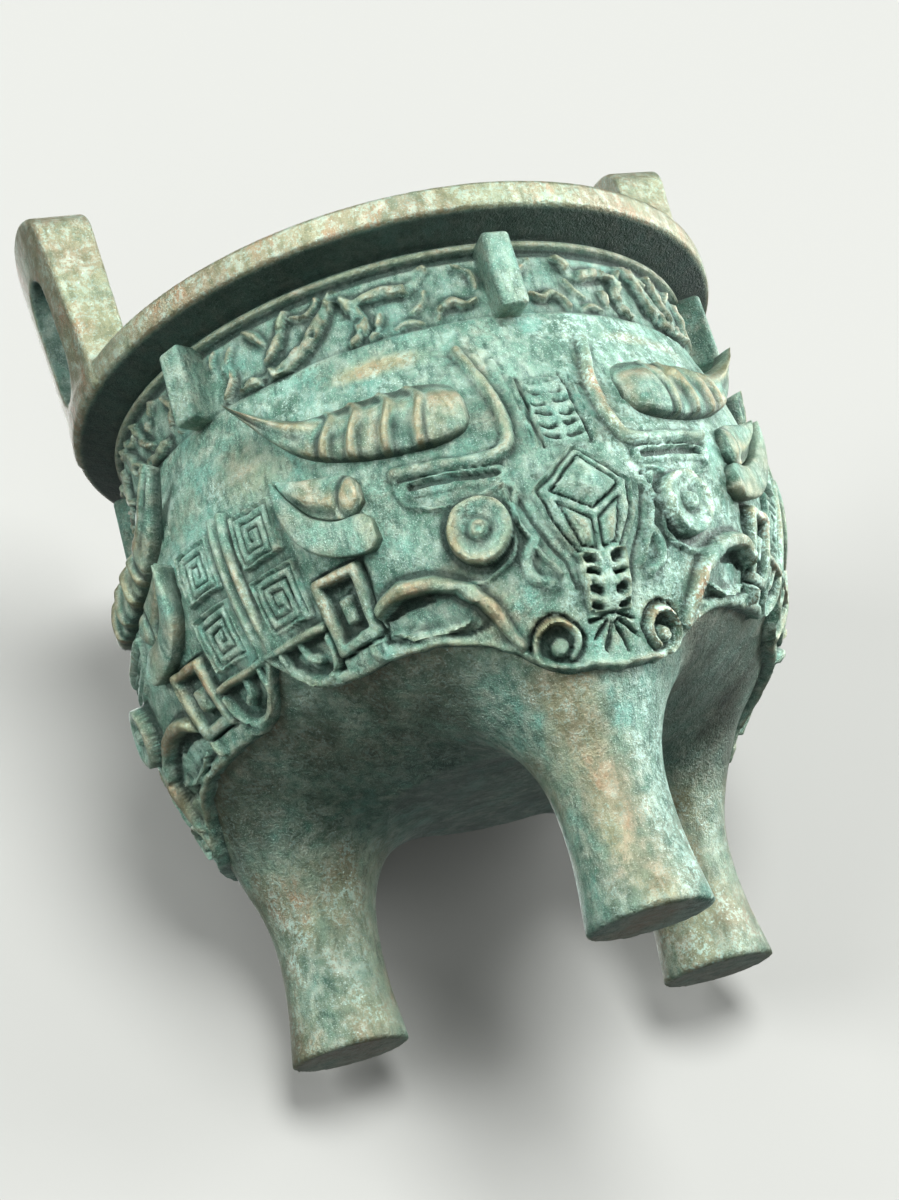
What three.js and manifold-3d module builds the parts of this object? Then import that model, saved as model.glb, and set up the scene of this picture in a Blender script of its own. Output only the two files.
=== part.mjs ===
import * as THREE from 'three';
import { mergeVertices } from 'three/addons/utils/BufferGeometryUtils.js';
import Module from 'manifold-3d';

// A tripod incense burner of patinated bronze, cast in one piece: a lobed bowl on three column legs,
// with a flat everted rim, two upright loop handles, a neck band with six short flanges and
// crawling dragons, and a horned animal mask over each leg.
// Millimetres, +Z up. The origin is on the ground, on the bowl's axis. One leg points to -Y,
// and the handles stand on +X and -X.

// Rim, neck and wall
const rimRadius = 60;
const rimTop = 119;
const rimThickness = 5;
const rimEdge = 0.8;
const rimUnderFall = 2;
const neckRadius = 52.3;
const neckHeight = 14.5;
const neckFillet = 1.6;
const wallThickness = 3.7;
const floorThickness = 4;

// Belly: the hollows between the lobes, and how far each lobe over a leg swells past them
const bellyBottom = 35.5;
const valleyRadius = 55;
const lobeSwell = 8;

// The casting is uneven: the belly bulges a little on one side, and legs and handles stand a few
// degrees off their even places. Angles run in degrees from the front, -Y, toward -X.
const sideBulge = 2.6;
const bulgeDegrees = -80;
const legDegrees = [1.9, 120, 243.6];
const handleDegrees = [92, 269];

// Legs: each under a lobe
const legCircle = 39.6;
const footRadius = 10.2;
const ankleRadius = 8.8;
const footEdge = 0.6;

// Handles
const handleHalfWidth = 15.3;
const handleShoulderHalfWidth = 12.8;
const handleShoulderHeight = 27.5;
const handleHeight = 35.4;
const handleThickness = 9.6;
const handleOuterLean = 3.4;
const handleInnerLean = 1.4;
const holeHalfWidth = 5.8;
const holeBottomHeight = 1.5;
const holeHeight = 23;

// Neck flanges
const flangeCount = 6;
const flangeWidth = 5;
const flangeReach = 5.1;
const flangeTopGap = 0.8;
const flangeBite = 1.5;

// Mask relief: how far its parts stand proud of the wall, and half widths of its ridges
const reliefBite = 1;
const hornHalfHeight = 5.6;
const hornRise = 3.2;
const hornTipLift = 7.2;
const earHalfWidth = 5.4;
const earRise = 2.2;
const earTipLift = 2.2;
const eyeRadius = 5;
const eyeRise = 2.3;
const browHalfWidth = 1;
const browRise = 1.9;
const jawHalfWidth = 1.8;
const jawRise = 3;
const curlHalfWidth = 1.3;
const curlRise = 2.2;
const lineHalfWidth = 0.85;
const lineRise = 1.8;
const dragonHalfWidth = 1;
const dragonRise = 1.5;

// Fineness of the facets
const bodyFacets = 48;
const cavityFacets = 36;
const legFacets = 14;

const neckTop = rimTop - rimThickness - rimUnderFall;
const shoulder = neckTop - neckHeight;
const bellyHeight = shoulder - bellyBottom;
const mouthRadius = neckRadius - wallThickness;
const lobeCount = legDegrees.length;
const radians = THREE.MathUtils.degToRad;
const mix = THREE.MathUtils.lerp;

const wasm = await Module();
wasm.setup();

// A smooth function through points given as [x, y], level outside them
function through(points) {
  const last = points.length - 1;
  const slopes = points.map((point, i) => {
    const before = points[Math.max(i - 1, 0)];
    const after = points[Math.min(i + 1, last)];
    return (after[1] - before[1]) / (after[0] - before[0]);
  });
  return (x) => {
    const i = Math.min(Math.max(points.findIndex((point) => point[0] > x) - 1, 0), last - 1);
    const start = x >= points[last][0] ? last - 1 : i;
    const [x0, y0] = points[start];
    const [x1, y1] = points[start + 1];
    const span = x1 - x0;
    const t = THREE.MathUtils.clamp((x - x0) / span, 0, 1);
    const rise = slopes[start] * span;
    const fall = slopes[start + 1] * span;
    const blend = t * t * (3 - 2 * t);
    return mix(y0, y1, blend) + rise * t * (1 - t) * (1 - t) - fall * t * t * (1 - t);
  };
}

// The belly's side, by share of its height from the bottom, 0, to the shoulder, 1
const neckShare = neckRadius / valleyRadius;
const valleyRows = [
  [0, 0.44], [0.07, 0.62], [0.15, 0.755], [0.25, 0.87], [0.41, 0.95],
  [0.62, 1], [0.83, mix(1, neckShare, 0.35)], [1, neckShare],
];
const valleyCurve = through(valleyRows);
const swellCurve = through([
  [0, 0], [0.07, 0.45], [0.15, 0.85], [0.235, 1], [0.36, 0.88], [0.49, 0.63], [0.62, 0.36],
  [0.75, 0.14], [0.88, 0.03], [1, 0],
]);
const lobeAt = (angle) => (1 + Math.cos(angle * lobeCount)) / 2;
const bulgeCurve = through([[0, 0], [0.2, 0.75], [0.5, 1], [0.8, 0.6], [1, 0]]);

// How far the wall stands out past the round valley form
function swellAt(angle, share) {
  const facing = Math.max(0, Math.cos(angle - radians(bulgeDegrees)));
  return lobeSwell * swellCurve(share) * lobeAt(angle) + sideBulge * bulgeCurve(share) * facing ** 2;
}

function wallRadius(angle, height) {
  const share = THREE.MathUtils.clamp((height - bellyBottom) / bellyHeight, 0, 1);
  return valleyRadius * valleyCurve(share) + swellAt(angle, share);
}

// A point a given way off the wall. Angles run from the front, -Y, toward -X.
function wallPoint(angle, height) {
  const radius = wallRadius(angle, height);
  return new THREE.Vector3(-radius * Math.sin(angle), -radius * Math.cos(angle), height);
}

function offWall(angle, height, rise) {
  const step = 0.01;
  const along = wallPoint(angle + step, height).sub(wallPoint(angle - step, height));
  const up = wallPoint(angle, height + step).sub(wallPoint(angle, height - step));
  const normal = up.cross(along).normalize();
  return wallPoint(angle, height).addScaledVector(normal, rise);
}

function reshape(geometry, place) {
  const positions = geometry.attributes.position;
  const point = new THREE.Vector3();
  for (let i = 0; i < positions.count; i += 1) {
    point.fromBufferAttribute(positions, i);
    place(point);
    positions.setXYZ(i, point.x, point.y, point.z);
  }
  return geometry;
}

// A closed three.js geometry as a solid, with its faces turned outwards
function solid(geometry) {
  const bare = geometry.clone();
  bare.deleteAttribute('normal');
  bare.deleteAttribute('uv');
  const merged = mergeVertices(bare, 1e-4);
  const positions = merged.attributes.position;
  const corner = (i) => new THREE.Vector3().fromBufferAttribute(positions, i);
  const faces = [];
  let volume = 0;
  for (let i = 0; i < merged.index.count; i += 3) {
    const [a, b, c] = [0, 1, 2].map((k) => merged.index.getX(i + k));
    if (a !== b && b !== c && a !== c) {
      faces.push([a, b, c]);
      volume += corner(a).dot(corner(b).cross(corner(c)));
    }
  }
  const outward = ([a, b, c]) => (volume > 0 ? [a, b, c] : [a, c, b]);
  const triVerts = Uint32Array.from(faces.flatMap(outward));
  const vertProperties = Float32Array.from(positions.array);
  return new wasm.Manifold(new wasm.Mesh({ numProp: 3, vertProperties, triVerts }));
}

// A lathe profile of [radius, height] pairs, turned about the Z axis
function turned(profile, facets) {
  const points = profile.map(([radius, height]) => new THREE.Vector2(radius, height));
  return new THREE.LatheGeometry(points, facets).rotateX(Math.PI / 2);
}

// Swells a turned form into lobes, each row by its own height
function lobed(geometry, heightOnWall) {
  return reshape(geometry, (point) => {
    const radius = Math.hypot(point.x, point.y);
    if (radius > 1) {
      const angle = Math.atan2(-point.x, -point.y);
      const share = THREE.MathUtils.clamp((heightOnWall(point.z) - bellyBottom) / bellyHeight, 0, 1);
      const swell = swellAt(angle, share);
      point.x *= (radius + swell) / radius;
      point.y *= (radius + swell) / radius;
    }
  });
}

function bowlOutside() {
  const bottomCrown = 0.5;
  const bottomRadius = 0.22 * valleyRadius;
  const side = valleyRows.map(([share]) => {
    const height = bellyBottom + share * bellyHeight;
    return [valleyRadius * valleyCurve(share), height];
  });
  const rimLow = rimTop - rimThickness;
  return lobed(turned([
    [0, bellyBottom - bottomCrown],
    [bottomRadius, bellyBottom - 0.8 * bottomCrown],
    ...side,
    [neckRadius, neckTop - neckFillet],
    [neckRadius + neckFillet, neckTop],
    [rimRadius - rimEdge, rimLow],
    [rimRadius, rimLow + rimEdge],
    [rimRadius, rimTop - rimEdge],
    [rimRadius - rimEdge, rimTop],
    [0, rimTop],
  ], bodyFacets), (height) => height);
}

// The hollow follows the outside, one wall in, from its floor to past the mouth
function bowlInside() {
  const above = 5;
  const floor = bellyBottom + floorThickness;
  const lift = floorThickness / 2;
  const shares = [0.15, 0.25, 0.41, 0.62, 0.83];
  const thickBelow = 0.3;
  const levelRadius = 0.45 * valleyRadius;
  const floorDish = 1.2;
  const side = shares.map((share) => {
    const low = share < thickBelow ? lift : 0;
    const radius = valleyRadius * valleyCurve(share) - wallThickness - low / 2;
    return [radius, bellyBottom + share * bellyHeight + low];
  });
  return lobed(turned([
    [0, floor],
    [levelRadius, floor + floorDish],
    ...side,
    [mouthRadius, shoulder],
    [mouthRadius, rimTop - rimEdge],
    [mouthRadius + rimEdge, rimTop],
    [mouthRadius + rimEdge, rimTop + above],
    [0, rimTop + above],
  ], cavityFacets), (height) => (height > floor + 2.5 * floorDish ? height - lift : bellyBottom));
}

// A column leg that flares a little at the foot and widely into its lobe
function leg() {
  const radiusAt = through([
    [0, footRadius], [0.11, mix(footRadius, ankleRadius, 0.35)],
    [0.28, mix(footRadius, ankleRadius, 0.85)], [0.45, ankleRadius], [0.62, ankleRadius + 0.4],
    [0.76, ankleRadius + 1.6], [0.9, ankleRadius + 4], [1.01, ankleRadius + 7.2],
    [1.13, ankleRadius + 12.2], [1.28, ankleRadius + 20], [1.4, ankleRadius + 25.6],
  ]);
  const inwardAt = through([
    [0, 0], [0.45, 0.7], [0.76, 1.2], [0.9, 2], [1.01, 4], [1.13, 7.8], [1.28, 14.2], [1.4, 19.4],
  ]);
  const shares = [0.11, 0.4, 0.66, 0.84, 0.98, 1.12, 1.26, 1.4];
  const rows = shares.map((share) => [radiusAt(share), share * bellyBottom]);
  const topHeight = 1.4 * bellyBottom;
  return reshape(turned([
    [0, 0], [footRadius - footEdge, 0], [footRadius, footEdge], ...rows, [0, topHeight],
  ], legFacets), (point) => {
    point.y -= legCircle - inwardAt(point.z / bellyBottom);
  });
}

// An upright loop with a rounded top. Its outer face follows the rim's round edge, and both faces lean out.
function handle() {
  const base = rimTop - rimThickness + rimEdge / 2;
  const shoulderAt = rimTop + handleShoulderHeight;
  const outline = new THREE.Shape();
  outline.moveTo(-handleHalfWidth, base);
  outline.lineTo(-handleShoulderHalfWidth, shoulderAt);
  outline.absellipse(0, shoulderAt, handleShoulderHalfWidth, handleHeight - handleShoulderHeight,
    Math.PI, 0, true);
  outline.lineTo(handleHalfWidth, base);
  outline.closePath();
  const low = rimTop + holeBottomHeight + holeHalfWidth;
  const high = rimTop + holeBottomHeight + holeHeight - holeHalfWidth;
  const hole = new THREE.Path();
  hole.absarc(0, high, holeHalfWidth, 0, Math.PI, false);
  hole.absarc(0, low, holeHalfWidth, Math.PI, 2 * Math.PI, false);
  hole.closePath();
  outline.holes.push(hole);
  const slab = new THREE.ExtrudeGeometry(outline, { depth: 1, bevelEnabled: false, curveSegments: 6 });
  return reshape(slab, (point) => {
    const { x: across, y: height, z: depth } = point;
    const share = Math.max(0, (height - rimTop) / handleHeight);
    const outerFace = rimRadius + handleOuterLean * share;
    const innerFace = rimRadius - handleThickness + handleInnerLean * share;
    const bow = rimRadius - Math.sqrt(rimRadius ** 2 - across ** 2);
    point.set(across, -mix(innerFace, outerFace - bow, depth), height);
  });
}

// A short upright bar on the neck, under the rim
function flange() {
  const height = neckTop - flangeTopGap - shoulder;
  const depth = flangeReach + flangeBite;
  const bar = new THREE.BoxGeometry(flangeWidth, depth, height);
  return bar.translate(0, -(neckRadius - flangeBite + depth / 2), shoulder + height / 2);
}

// Stations along a path on the wall: smooth through its points, or with mitred corners
function stationsAlong(path, steps) {
  const flat = path.map(([degrees, height]) => new THREE.Vector2(radians(degrees) * valleyRadius, height));
  const spots = steps ? new THREE.SplineCurve(flat).getPoints(steps) : flat;
  return spots.map((spot, i) => {
    const before = spots[Math.max(i - 1, 0)];
    const after = spots[Math.min(i + 1, spots.length - 1)];
    const into = spot.clone().sub(before).normalize();
    const out = after.clone().sub(spot).normalize();
    const along = into.clone().add(out).normalize();
    const halfTurn = Math.max(i === 0 ? along.dot(out) : along.dot(into), 0.6);
    return { spot, side: new THREE.Vector2(-along.y, along.x).divideScalar(halfTurn) };
  });
}

// A ridge or horn that follows a path of [degrees, height] on the wall. half, rise and lift are its half
// width, its height and how far it stands off the wall, each by the share of its length.
function ridge(path, { steps = 0, sides = 4, half, rise, lift = () => 0, under = () => reliefBite }) {
  const stations = stationsAlong(path, steps);
  const count = stations.length - 1;
  const square = sides === 4;
  const reach = square ? Math.SQRT2 : 1;
  const start = square ? Math.PI / 4 : 0;
  const bar = new THREE.CylinderGeometry(reach, reach, 1, sides, count, false, start);
  return reshape(bar, (point) => {
    const share = point.y + 0.5;
    const { spot, side } = stations[Math.round(share * count)];
    const crown = square && point.z > 0 ? 0.7 : 1;
    const across = point.x * half(share) * crown;
    const up = point.z > 0 ? point.z * rise(share) : point.z * under(share);
    const angle = (spot.x + side.x * across) / valleyRadius;
    point.copy(offWall(angle, spot.y + side.y * across, lift(share) + up));
  });
}

// A round boss with a sunk ring and a raised middle, on the wall
function eye(degrees, height) {
  const facets = 8;
  const boss = turned([
    [0, -reliefBite], [eyeRadius, -reliefBite], [0.85 * eyeRadius, 0.85 * eyeRise],
    [0.45 * eyeRadius, 0.5 * eyeRise], [0, 1.2 * eyeRise],
  ], facets);
  return reshape(boss, (point) => {
    point.copy(offWall(radians(degrees) + point.x / valleyRadius, height + point.y, point.z));
  });
}

// Mask places are [degrees from its middle, share of the belly's height]
const onBelly = ([degrees, share]) => [degrees, bellyBottom + share * bellyHeight];
const even = (value) => () => value;
const line = { half: even(lineHalfWidth), rise: even(lineRise) };
const brow = { steps: 5, half: even(browHalfWidth), rise: even(browRise) };
const jaw = { steps: 4, half: (share) => jawHalfWidth * (1 - 0.35 * share), rise: even(jawRise) };
const curl = { half: even(curlHalfWidth), rise: even(curlRise) };

function halfMask(middle, side) {
  const path = (points) => points.map(([degrees, share]) => onBelly([middle + side * degrees, share]));
  const bar = (points, form) => ridge(path(points), form);
  const hornForm = {
    steps: 5,
    sides: 6,
    half: through([[0, 0.55 * hornHalfHeight], [0.14, hornHalfHeight], [0.5, 0.95 * hornHalfHeight],
      [0.75, 0.55 * hornHalfHeight], [1, 0.06 * hornHalfHeight]]),
    rise: through([[0, 0.6 * hornRise], [0.15, hornRise], [0.7, 0.7 * hornRise], [1, 0.2 * hornRise]]),
    lift: through([[0, 0], [0.5, 0.06 * hornTipLift], [0.75, 0.45 * hornTipLift], [1, hornTipLift]]),
    under: through([[0, reliefBite], [0.5, reliefBite + 0.5], [1, 0.3 * reliefBite]]),
  };
  const earForm = {
    steps: 3,
    sides: 6,
    half: through([[0, 0.3 * earHalfWidth], [0.3, earHalfWidth], [0.7, 0.95 * earHalfWidth],
      [1, 0.3 * earHalfWidth]]),
    rise: through([[0, 0.7 * earRise], [0.3, earRise], [1, 0.5 * earRise]]),
    lift: through([[0, 0], [0.4, 0], [1, earTipLift]]),
    under: through([[0, reliefBite], [1, reliefBite + earTipLift / 2]]),
  };
  return [
    bar([[14.5, 0.73], [22, 0.755], [31.5, 0.775], [38.5, 0.8], [45, 0.865], [52, 0.95]], hornForm),
    bar([[34, 0.47], [38, 0.53], [42, 0.6], [44.5, 0.68]], earForm),
    eye(...onBelly([middle + side * 16.8, 0.386])),
    bar([[10.4, 0.915], [8.2, 0.8], [7.8, 0.69], [10, 0.61], [17, 0.6], [26, 0.613]], brow),
    bar([[36.5, 0.271], [33.8, 0.318], [28, 0.33], [22, 0.29], [16.5, 0.2], [13.6, 0.12]], jaw),
    bar([[13.4, 0.14], [9, 0.15], [5, 0.11], [5.2, 0.045], [9.6, 0.03], [11.2, 0.085], [8.4, 0.1]],
      { steps: 5, ...curl }),
    bar([[36, 0.43], [45, 0.43], [45, 0.25], [38, 0.25], [38, 0.36]], line),
    bar([[0, 0.005], [7, 0.02], [15, 0.105], [26, 0.15], [37, 0.17], [48, 0.19], [58.2, 0.335],
      [58.2, 0.52], [58.2, 0.707]], line),
  ];
}

// What lies on a mask's middle line: forehead bars, shield and nose
function maskMiddle(middle) {
  const path = (points) => points.map(([degrees, share]) => onBelly([middle + degrees, share]));
  const bar = (points, form) => ridge(path(points), form);
  const shieldHalf = 6.4;
  return [
    bar([[0, 0.555], [0, 0.46], [0, 0.305]], {
      half: through([[0, 0.1 * shieldHalf], [0.5, shieldHalf], [1, 0.1 * shieldHalf]]),
      rise: even(browRise),
    }),
    bar([[0, 0.3], [0, 0.22], [0, 0.13], [0, 0.05]], {
      half: through([[0, 1.2], [0.4, 2], [0.75, 1.2], [1, 3.2]]),
      rise: even(curlRise),
    }),
    bar([[-4.5, 0.235], [0, 0.2], [4.5, 0.235]], line),
  ];
}

// A crawling dragon in each panel of the neck, as [degrees from the flange, share of the neck's height]
function neckDragon(middle, side) {
  const onNeck = ([degrees, share]) => [middle + side * degrees, shoulder + share * neckHeight];
  const form = {
    half: through([[0, 0.5 * dragonHalfWidth], [0.4, dragonHalfWidth], [1, 0.6 * dragonHalfWidth]]),
    rise: even(dragonRise),
  };
  const body = [[47, 0.16], [40, 0.14], [34, 0.3], [31, 0.6], [25, 0.78]];
  const tail = [[28, 0.16], [24, 0.3], [21, 0.52], [15.5, 0.4], [10, 0.2], [6, 0.3]];
  return [
    ridge(body.map(onNeck), { steps: 3, ...form }),
    ridge(tail.map(onNeck), { steps: 3, ...form }),
  ];
}

function joined(geometries) {
  return geometries.map(solid).reduce((whole, next) => whole.add(next));
}

// Degrees from the front toward -X, as a turn of a piece that is made standing at the front
const stood = (piece, degrees) => piece.rotateZ(-radians(degrees));
const evenly = (count) => Array.from({ length: count }, (unused, i) => (i * 360) / count);

const casting = joined([
  bowlOutside(),
  ...legDegrees.map((degrees) => stood(leg(), degrees)),
  ...handleDegrees.map((degrees) => stood(handle(), degrees)),
  ...evenly(flangeCount).map((degrees) => stood(flange(), degrees)),
  ...evenly(lobeCount).flatMap((middle) => [
    ...halfMask(middle, 1), ...halfMask(middle, -1), ...maskMiddle(middle),
    ...neckDragon(middle, 1), ...neckDragon(middle, -1),
  ]),
]).subtract(solid(bowlInside()));

function geometryOf(body) {
  const { vertProperties, triVerts } = body.getMesh();
  const geometry = new THREE.BufferGeometry();
  geometry.setAttribute('position', new THREE.BufferAttribute(new Float32Array(vertProperties), 3));
  geometry.setIndex(new THREE.BufferAttribute(new Uint32Array(triVerts), 1));
  geometry.computeVertexNormals();
  return geometry;
}

const bronze = new THREE.MeshStandardMaterial({ color: 0x7fa08f, roughness: 0.5, metalness: 0.7 });
const burner = new THREE.Mesh(geometryOf(casting), bronze);
burner.name = 'tripod_censer';

const model = new THREE.Group();
model.add(burner);
export default model;
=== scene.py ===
"""A tripod incense burner of patinated cast bronze, shown in metres around its packed casting.

The casting is one piece of metal. Here it is drawn as a few closed sections that overlap out of sight:
the legs with the underside, the rim with the handles, the inside of the bowl, the neck band, and three
panels of the belly with one animal mask each. Lengths are worked out in millimetres and angles in
degrees from the front leg, -Y, toward -X.
"""
import math

import bpy
import numpy as np
from mathutils import Matrix, Vector


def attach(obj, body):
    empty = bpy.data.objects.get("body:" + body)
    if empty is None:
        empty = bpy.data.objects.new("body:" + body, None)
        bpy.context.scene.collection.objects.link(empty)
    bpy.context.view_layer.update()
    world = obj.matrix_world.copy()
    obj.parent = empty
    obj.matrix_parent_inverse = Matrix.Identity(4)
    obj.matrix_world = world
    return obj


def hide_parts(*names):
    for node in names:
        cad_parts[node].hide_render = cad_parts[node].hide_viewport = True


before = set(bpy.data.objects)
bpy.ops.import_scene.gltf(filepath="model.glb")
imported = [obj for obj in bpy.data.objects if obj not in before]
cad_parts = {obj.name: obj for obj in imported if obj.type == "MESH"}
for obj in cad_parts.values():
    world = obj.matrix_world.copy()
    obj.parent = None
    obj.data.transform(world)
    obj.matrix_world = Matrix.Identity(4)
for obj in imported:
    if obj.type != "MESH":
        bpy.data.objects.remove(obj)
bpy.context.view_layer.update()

MM = 0.001
CASTING = "tripod_censer"

# The casting's own sizes, as in its drawing
RIM_RADIUS = 60
RIM_TOP = 119
RIM_THICKNESS = 5
NECK_RADIUS = 52.3
NECK_TOP = 112
NECK_FILLET = 1.6
SHOULDER = 97.5
WALL = 3.7
FLOOR = 4
BELLY_BOTTOM = 35.5
BELLY_HEIGHT = SHOULDER - BELLY_BOTTOM
VALLEY_RADIUS = 55
MOUTH_RADIUS = NECK_RADIUS - WALL
LOBE_SWELL = 8
SIDE_BULGE = 2.6
BULGE_DEGREES = -80
LEG_DEGREES = (1.9, 120, 243.6)
HANDLE_DEGREES = (92, 269)
LEG_CIRCLE = 39.6
FOOT_RADIUS = 10.2
ANKLE_RADIUS = 8.8
FOOT_EDGE = 0.6
LEG_TOP = 1.4 * BELLY_BOTTOM
LEG_BLEND = 5
HANDLE_HALF_WIDTH = 15.3
HANDLE_SHOULDER_HALF_WIDTH = 12.8
HANDLE_SHOULDER_HEIGHT = 27.5
HANDLE_HEIGHT = 35.4
HANDLE_THICKNESS = 9.6
HANDLE_OUTER_LEAN = 3.4
HANDLE_INNER_LEAN = 1.4
HANDLE_EDGE = 1
HANDLE_BLEND = 1.6
HOLE_HALF_WIDTH = 5.8
HOLE_LOW = RIM_TOP + 1.5 + HOLE_HALF_WIDTH
HOLE_HIGH = RIM_TOP + 24.5 - HOLE_HALF_WIDTH
FLANGE_WIDTH = 5
FLANGE_REACH = 5.1
MASK_DEGREES = (0, 120, 240)


# Curves and distances

def through(rows):
    """A smooth function through [x, y] rows, level outside them."""
    xs, ys = np.array(rows, float).T
    before = np.maximum(np.arange(len(xs)) - 1, 0)
    after = np.minimum(np.arange(len(xs)) + 1, len(xs) - 1)
    slopes = (ys[after] - ys[before]) / (xs[after] - xs[before])

    def curve(x):
        i = np.clip(np.searchsorted(xs, x, side="right") - 1, 0, len(xs) - 2)
        span = xs[i + 1] - xs[i]
        t = np.clip((x - xs[i]) / span, 0, 1)
        blend = t * t * (3 - 2 * t)
        bend = slopes[i] * (1 - t) - slopes[i + 1] * t
        return ys[i] * (1 - blend) + ys[i + 1] * blend + bend * span * t * (1 - t)
    return curve


def step(low, high, x):
    t = np.clip((x - low) / (high - low), 0, 1)
    return t * t * (3 - 2 * t)


def rounded_path(points, spacing=0.5):
    """Points along a smooth line through the given ones."""
    p = np.array(points, float)
    ends = np.vstack([2 * p[0] - p[1], p, 2 * p[-1] - p[-2]])
    out = []
    for a, b, c, d in zip(ends[:-3], ends[1:-2], ends[2:-1], ends[3:]):
        count = max(2, int(np.linalg.norm(c - b) / spacing))
        t = np.linspace(0, 1, count, endpoint=False)[:, None]
        bend = 2 * a - 5 * b + 4 * c - d + t * (3 * (b - c) + d - a)
        out.append(b + 0.5 * t * (c - a + t * bend))
    return np.vstack([*out, p[-1:]])


def path_distance(u, v, path):
    """Distance from points to a line of points, and the share of its length at the nearest one."""
    lengths = np.linalg.norm(np.diff(path, axis=0), axis=1)
    starts = np.concatenate([[0], np.cumsum(lengths)])
    best = np.full(u.shape, 1e9)
    share = np.zeros(u.shape)
    for (ax, ay), (bx, by), start, length in zip(path[:-1], path[1:], starts, lengths):
        if length < 1e-9:
            continue
        t = np.clip(((u - ax) * (bx - ax) + (v - ay) * (by - ay)) / length ** 2, 0, 1)
        d = np.hypot(u - ax - t * (bx - ax), v - ay - t * (by - ay))
        near = d < best
        best = np.where(near, d, best)
        share = np.where(near, (start + t * length) / starts[-1], share)
    return best, share


def area_distance(u, v, outline):
    """Signed distance to a closed outline, negative inside it."""
    loop = np.vstack([outline, outline[:1]])
    distance, _ = path_distance(u, v, loop)
    inside = np.zeros(u.shape, bool)
    for (ax, ay), (bx, by) in zip(loop[:-1], loop[1:]):
        if ay != by:
            crosses = (ay > v) != (by > v)
            inside ^= crosses & (u < (bx - ax) * (v - ay) / (by - ay) + ax)
    return np.where(inside, -distance, distance)


def field_of(outline, low, high, spacing=0.25):
    """A closed outline's signed distance, worked out once on a grid and read by interpolation."""
    nu, nv = (int((h - l) / spacing) + 2 for l, h in zip(low, high))
    across, up = (start + np.arange(n) * spacing for start, n in zip(low, (nu, nv)))
    grid = area_distance(*np.meshgrid(across, up, indexing="ij"), np.array(outline, float))

    def read(u, v):
        x = np.clip((u - low[0]) / spacing, 0, nu - 1.001)
        y = np.clip((v - low[1]) / spacing, 0, nv - 1.001)
        i, j = x.astype(int), y.astype(int)
        fx, fy = x - i, y - j
        near = grid[i, j] * (1 - fx) + grid[i + 1, j] * fx
        far = grid[i, j + 1] * (1 - fx) + grid[i + 1, j + 1] * fx
        return near * (1 - fy) + far * fy
    return read


def arc(centre, radius, start, end, count=6):
    turns = np.radians(np.linspace(start, end, count))
    return np.stack([centre[0] + radius * np.cos(turns), centre[1] + radius * np.sin(turns)], 1)


def rounded_corner(first, second, edge):
    """Distance to two faces that meet in a rounded edge, negative inside both."""
    corner = np.hypot(np.maximum(first + edge, 0), np.maximum(second + edge, 0)) - edge
    return np.where((first > -edge) & (second > -edge), corner, np.maximum(first, second))


def smooth_min(a, b, soft):
    h = np.clip(0.5 + 0.5 * (b - a) / soft, 0, 1)
    return b * (1 - h) + a * h - soft * h * (1 - h)


# The smooth casting as a solid

neck_share = NECK_RADIUS / VALLEY_RADIUS
valley_curve = through([
    (0, 0.44), (0.07, 0.62), (0.15, 0.755), (0.25, 0.87), (0.41, 0.95), (0.62, 1),
    (0.83, 1 + 0.35 * (neck_share - 1)), (1, neck_share),
])
swell_curve = through([
    (0, 0), (0.07, 0.45), (0.15, 0.85), (0.235, 1), (0.36, 0.88), (0.49, 0.63), (0.62, 0.36),
    (0.75, 0.14), (0.88, 0.03), (1, 0),
])
bulge_curve = through([(0, 0), (0.2, 0.75), (0.5, 1), (0.8, 0.6), (1, 0)])


def share_of(height):
    return np.clip((height - BELLY_BOTTOM) / BELLY_HEIGHT, 0, 1)


def swell_at(angle, share):
    facing = np.maximum(0, np.cos(angle - math.radians(BULGE_DEGREES)))
    lobes = (1 + np.cos(3 * angle)) / 2
    return LOBE_SWELL * swell_curve(share) * lobes + SIDE_BULGE * bulge_curve(share) * facing ** 2


side_shares = np.linspace(0, 1, 60)
side = np.stack([VALLEY_RADIUS * valley_curve(side_shares), BELLY_BOTTOM + side_shares * BELLY_HEIGHT], 1)
rim_low = RIM_TOP - RIM_THICKNESS
outside_outline = np.vstack([
    [(-9, BELLY_BOTTOM - 0.5), (12, BELLY_BOTTOM - 0.4)], side,
    [(NECK_RADIUS, NECK_TOP - NECK_FILLET)],
    arc((NECK_RADIUS + NECK_FILLET, NECK_TOP - NECK_FILLET), NECK_FILLET, 180, 90),
    arc((RIM_RADIUS - 1.1, rim_low + 1.1), 1.1, -75, 0),
    arc((RIM_RADIUS - 0.9, RIM_TOP - 0.9), 0.9, 0, 90),
    [(-9, RIM_TOP)],
])
outside_field = field_of(outside_outline, (-3, 28), (74, 128))

cavity_floor = BELLY_BOTTOM + FLOOR
cavity_shares = np.linspace(0.12, 0.86, 40)
cavity_low = 1 - step(0.1, 0.36, cavity_shares)
cavity_outline = np.vstack([
    [(-9, cavity_floor), (12, cavity_floor + 0.15), (24.75, cavity_floor + 1.3)],
    np.stack([VALLEY_RADIUS * valley_curve(cavity_shares) - WALL - cavity_low,
              BELLY_BOTTOM + cavity_shares * BELLY_HEIGHT + 2 * cavity_low], 1),
    [(MOUTH_RADIUS + 0.25, SHOULDER - 4), (MOUTH_RADIUS, SHOULDER), (MOUTH_RADIUS, RIM_TOP - 1)],
    arc((MOUTH_RADIUS + 1, RIM_TOP - 1), 1, 180, 90),
    [(MOUTH_RADIUS + 1, 140), (-9, 140)],
])
cavity_field = field_of(cavity_outline, (-3, 28), (74, 136))

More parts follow.
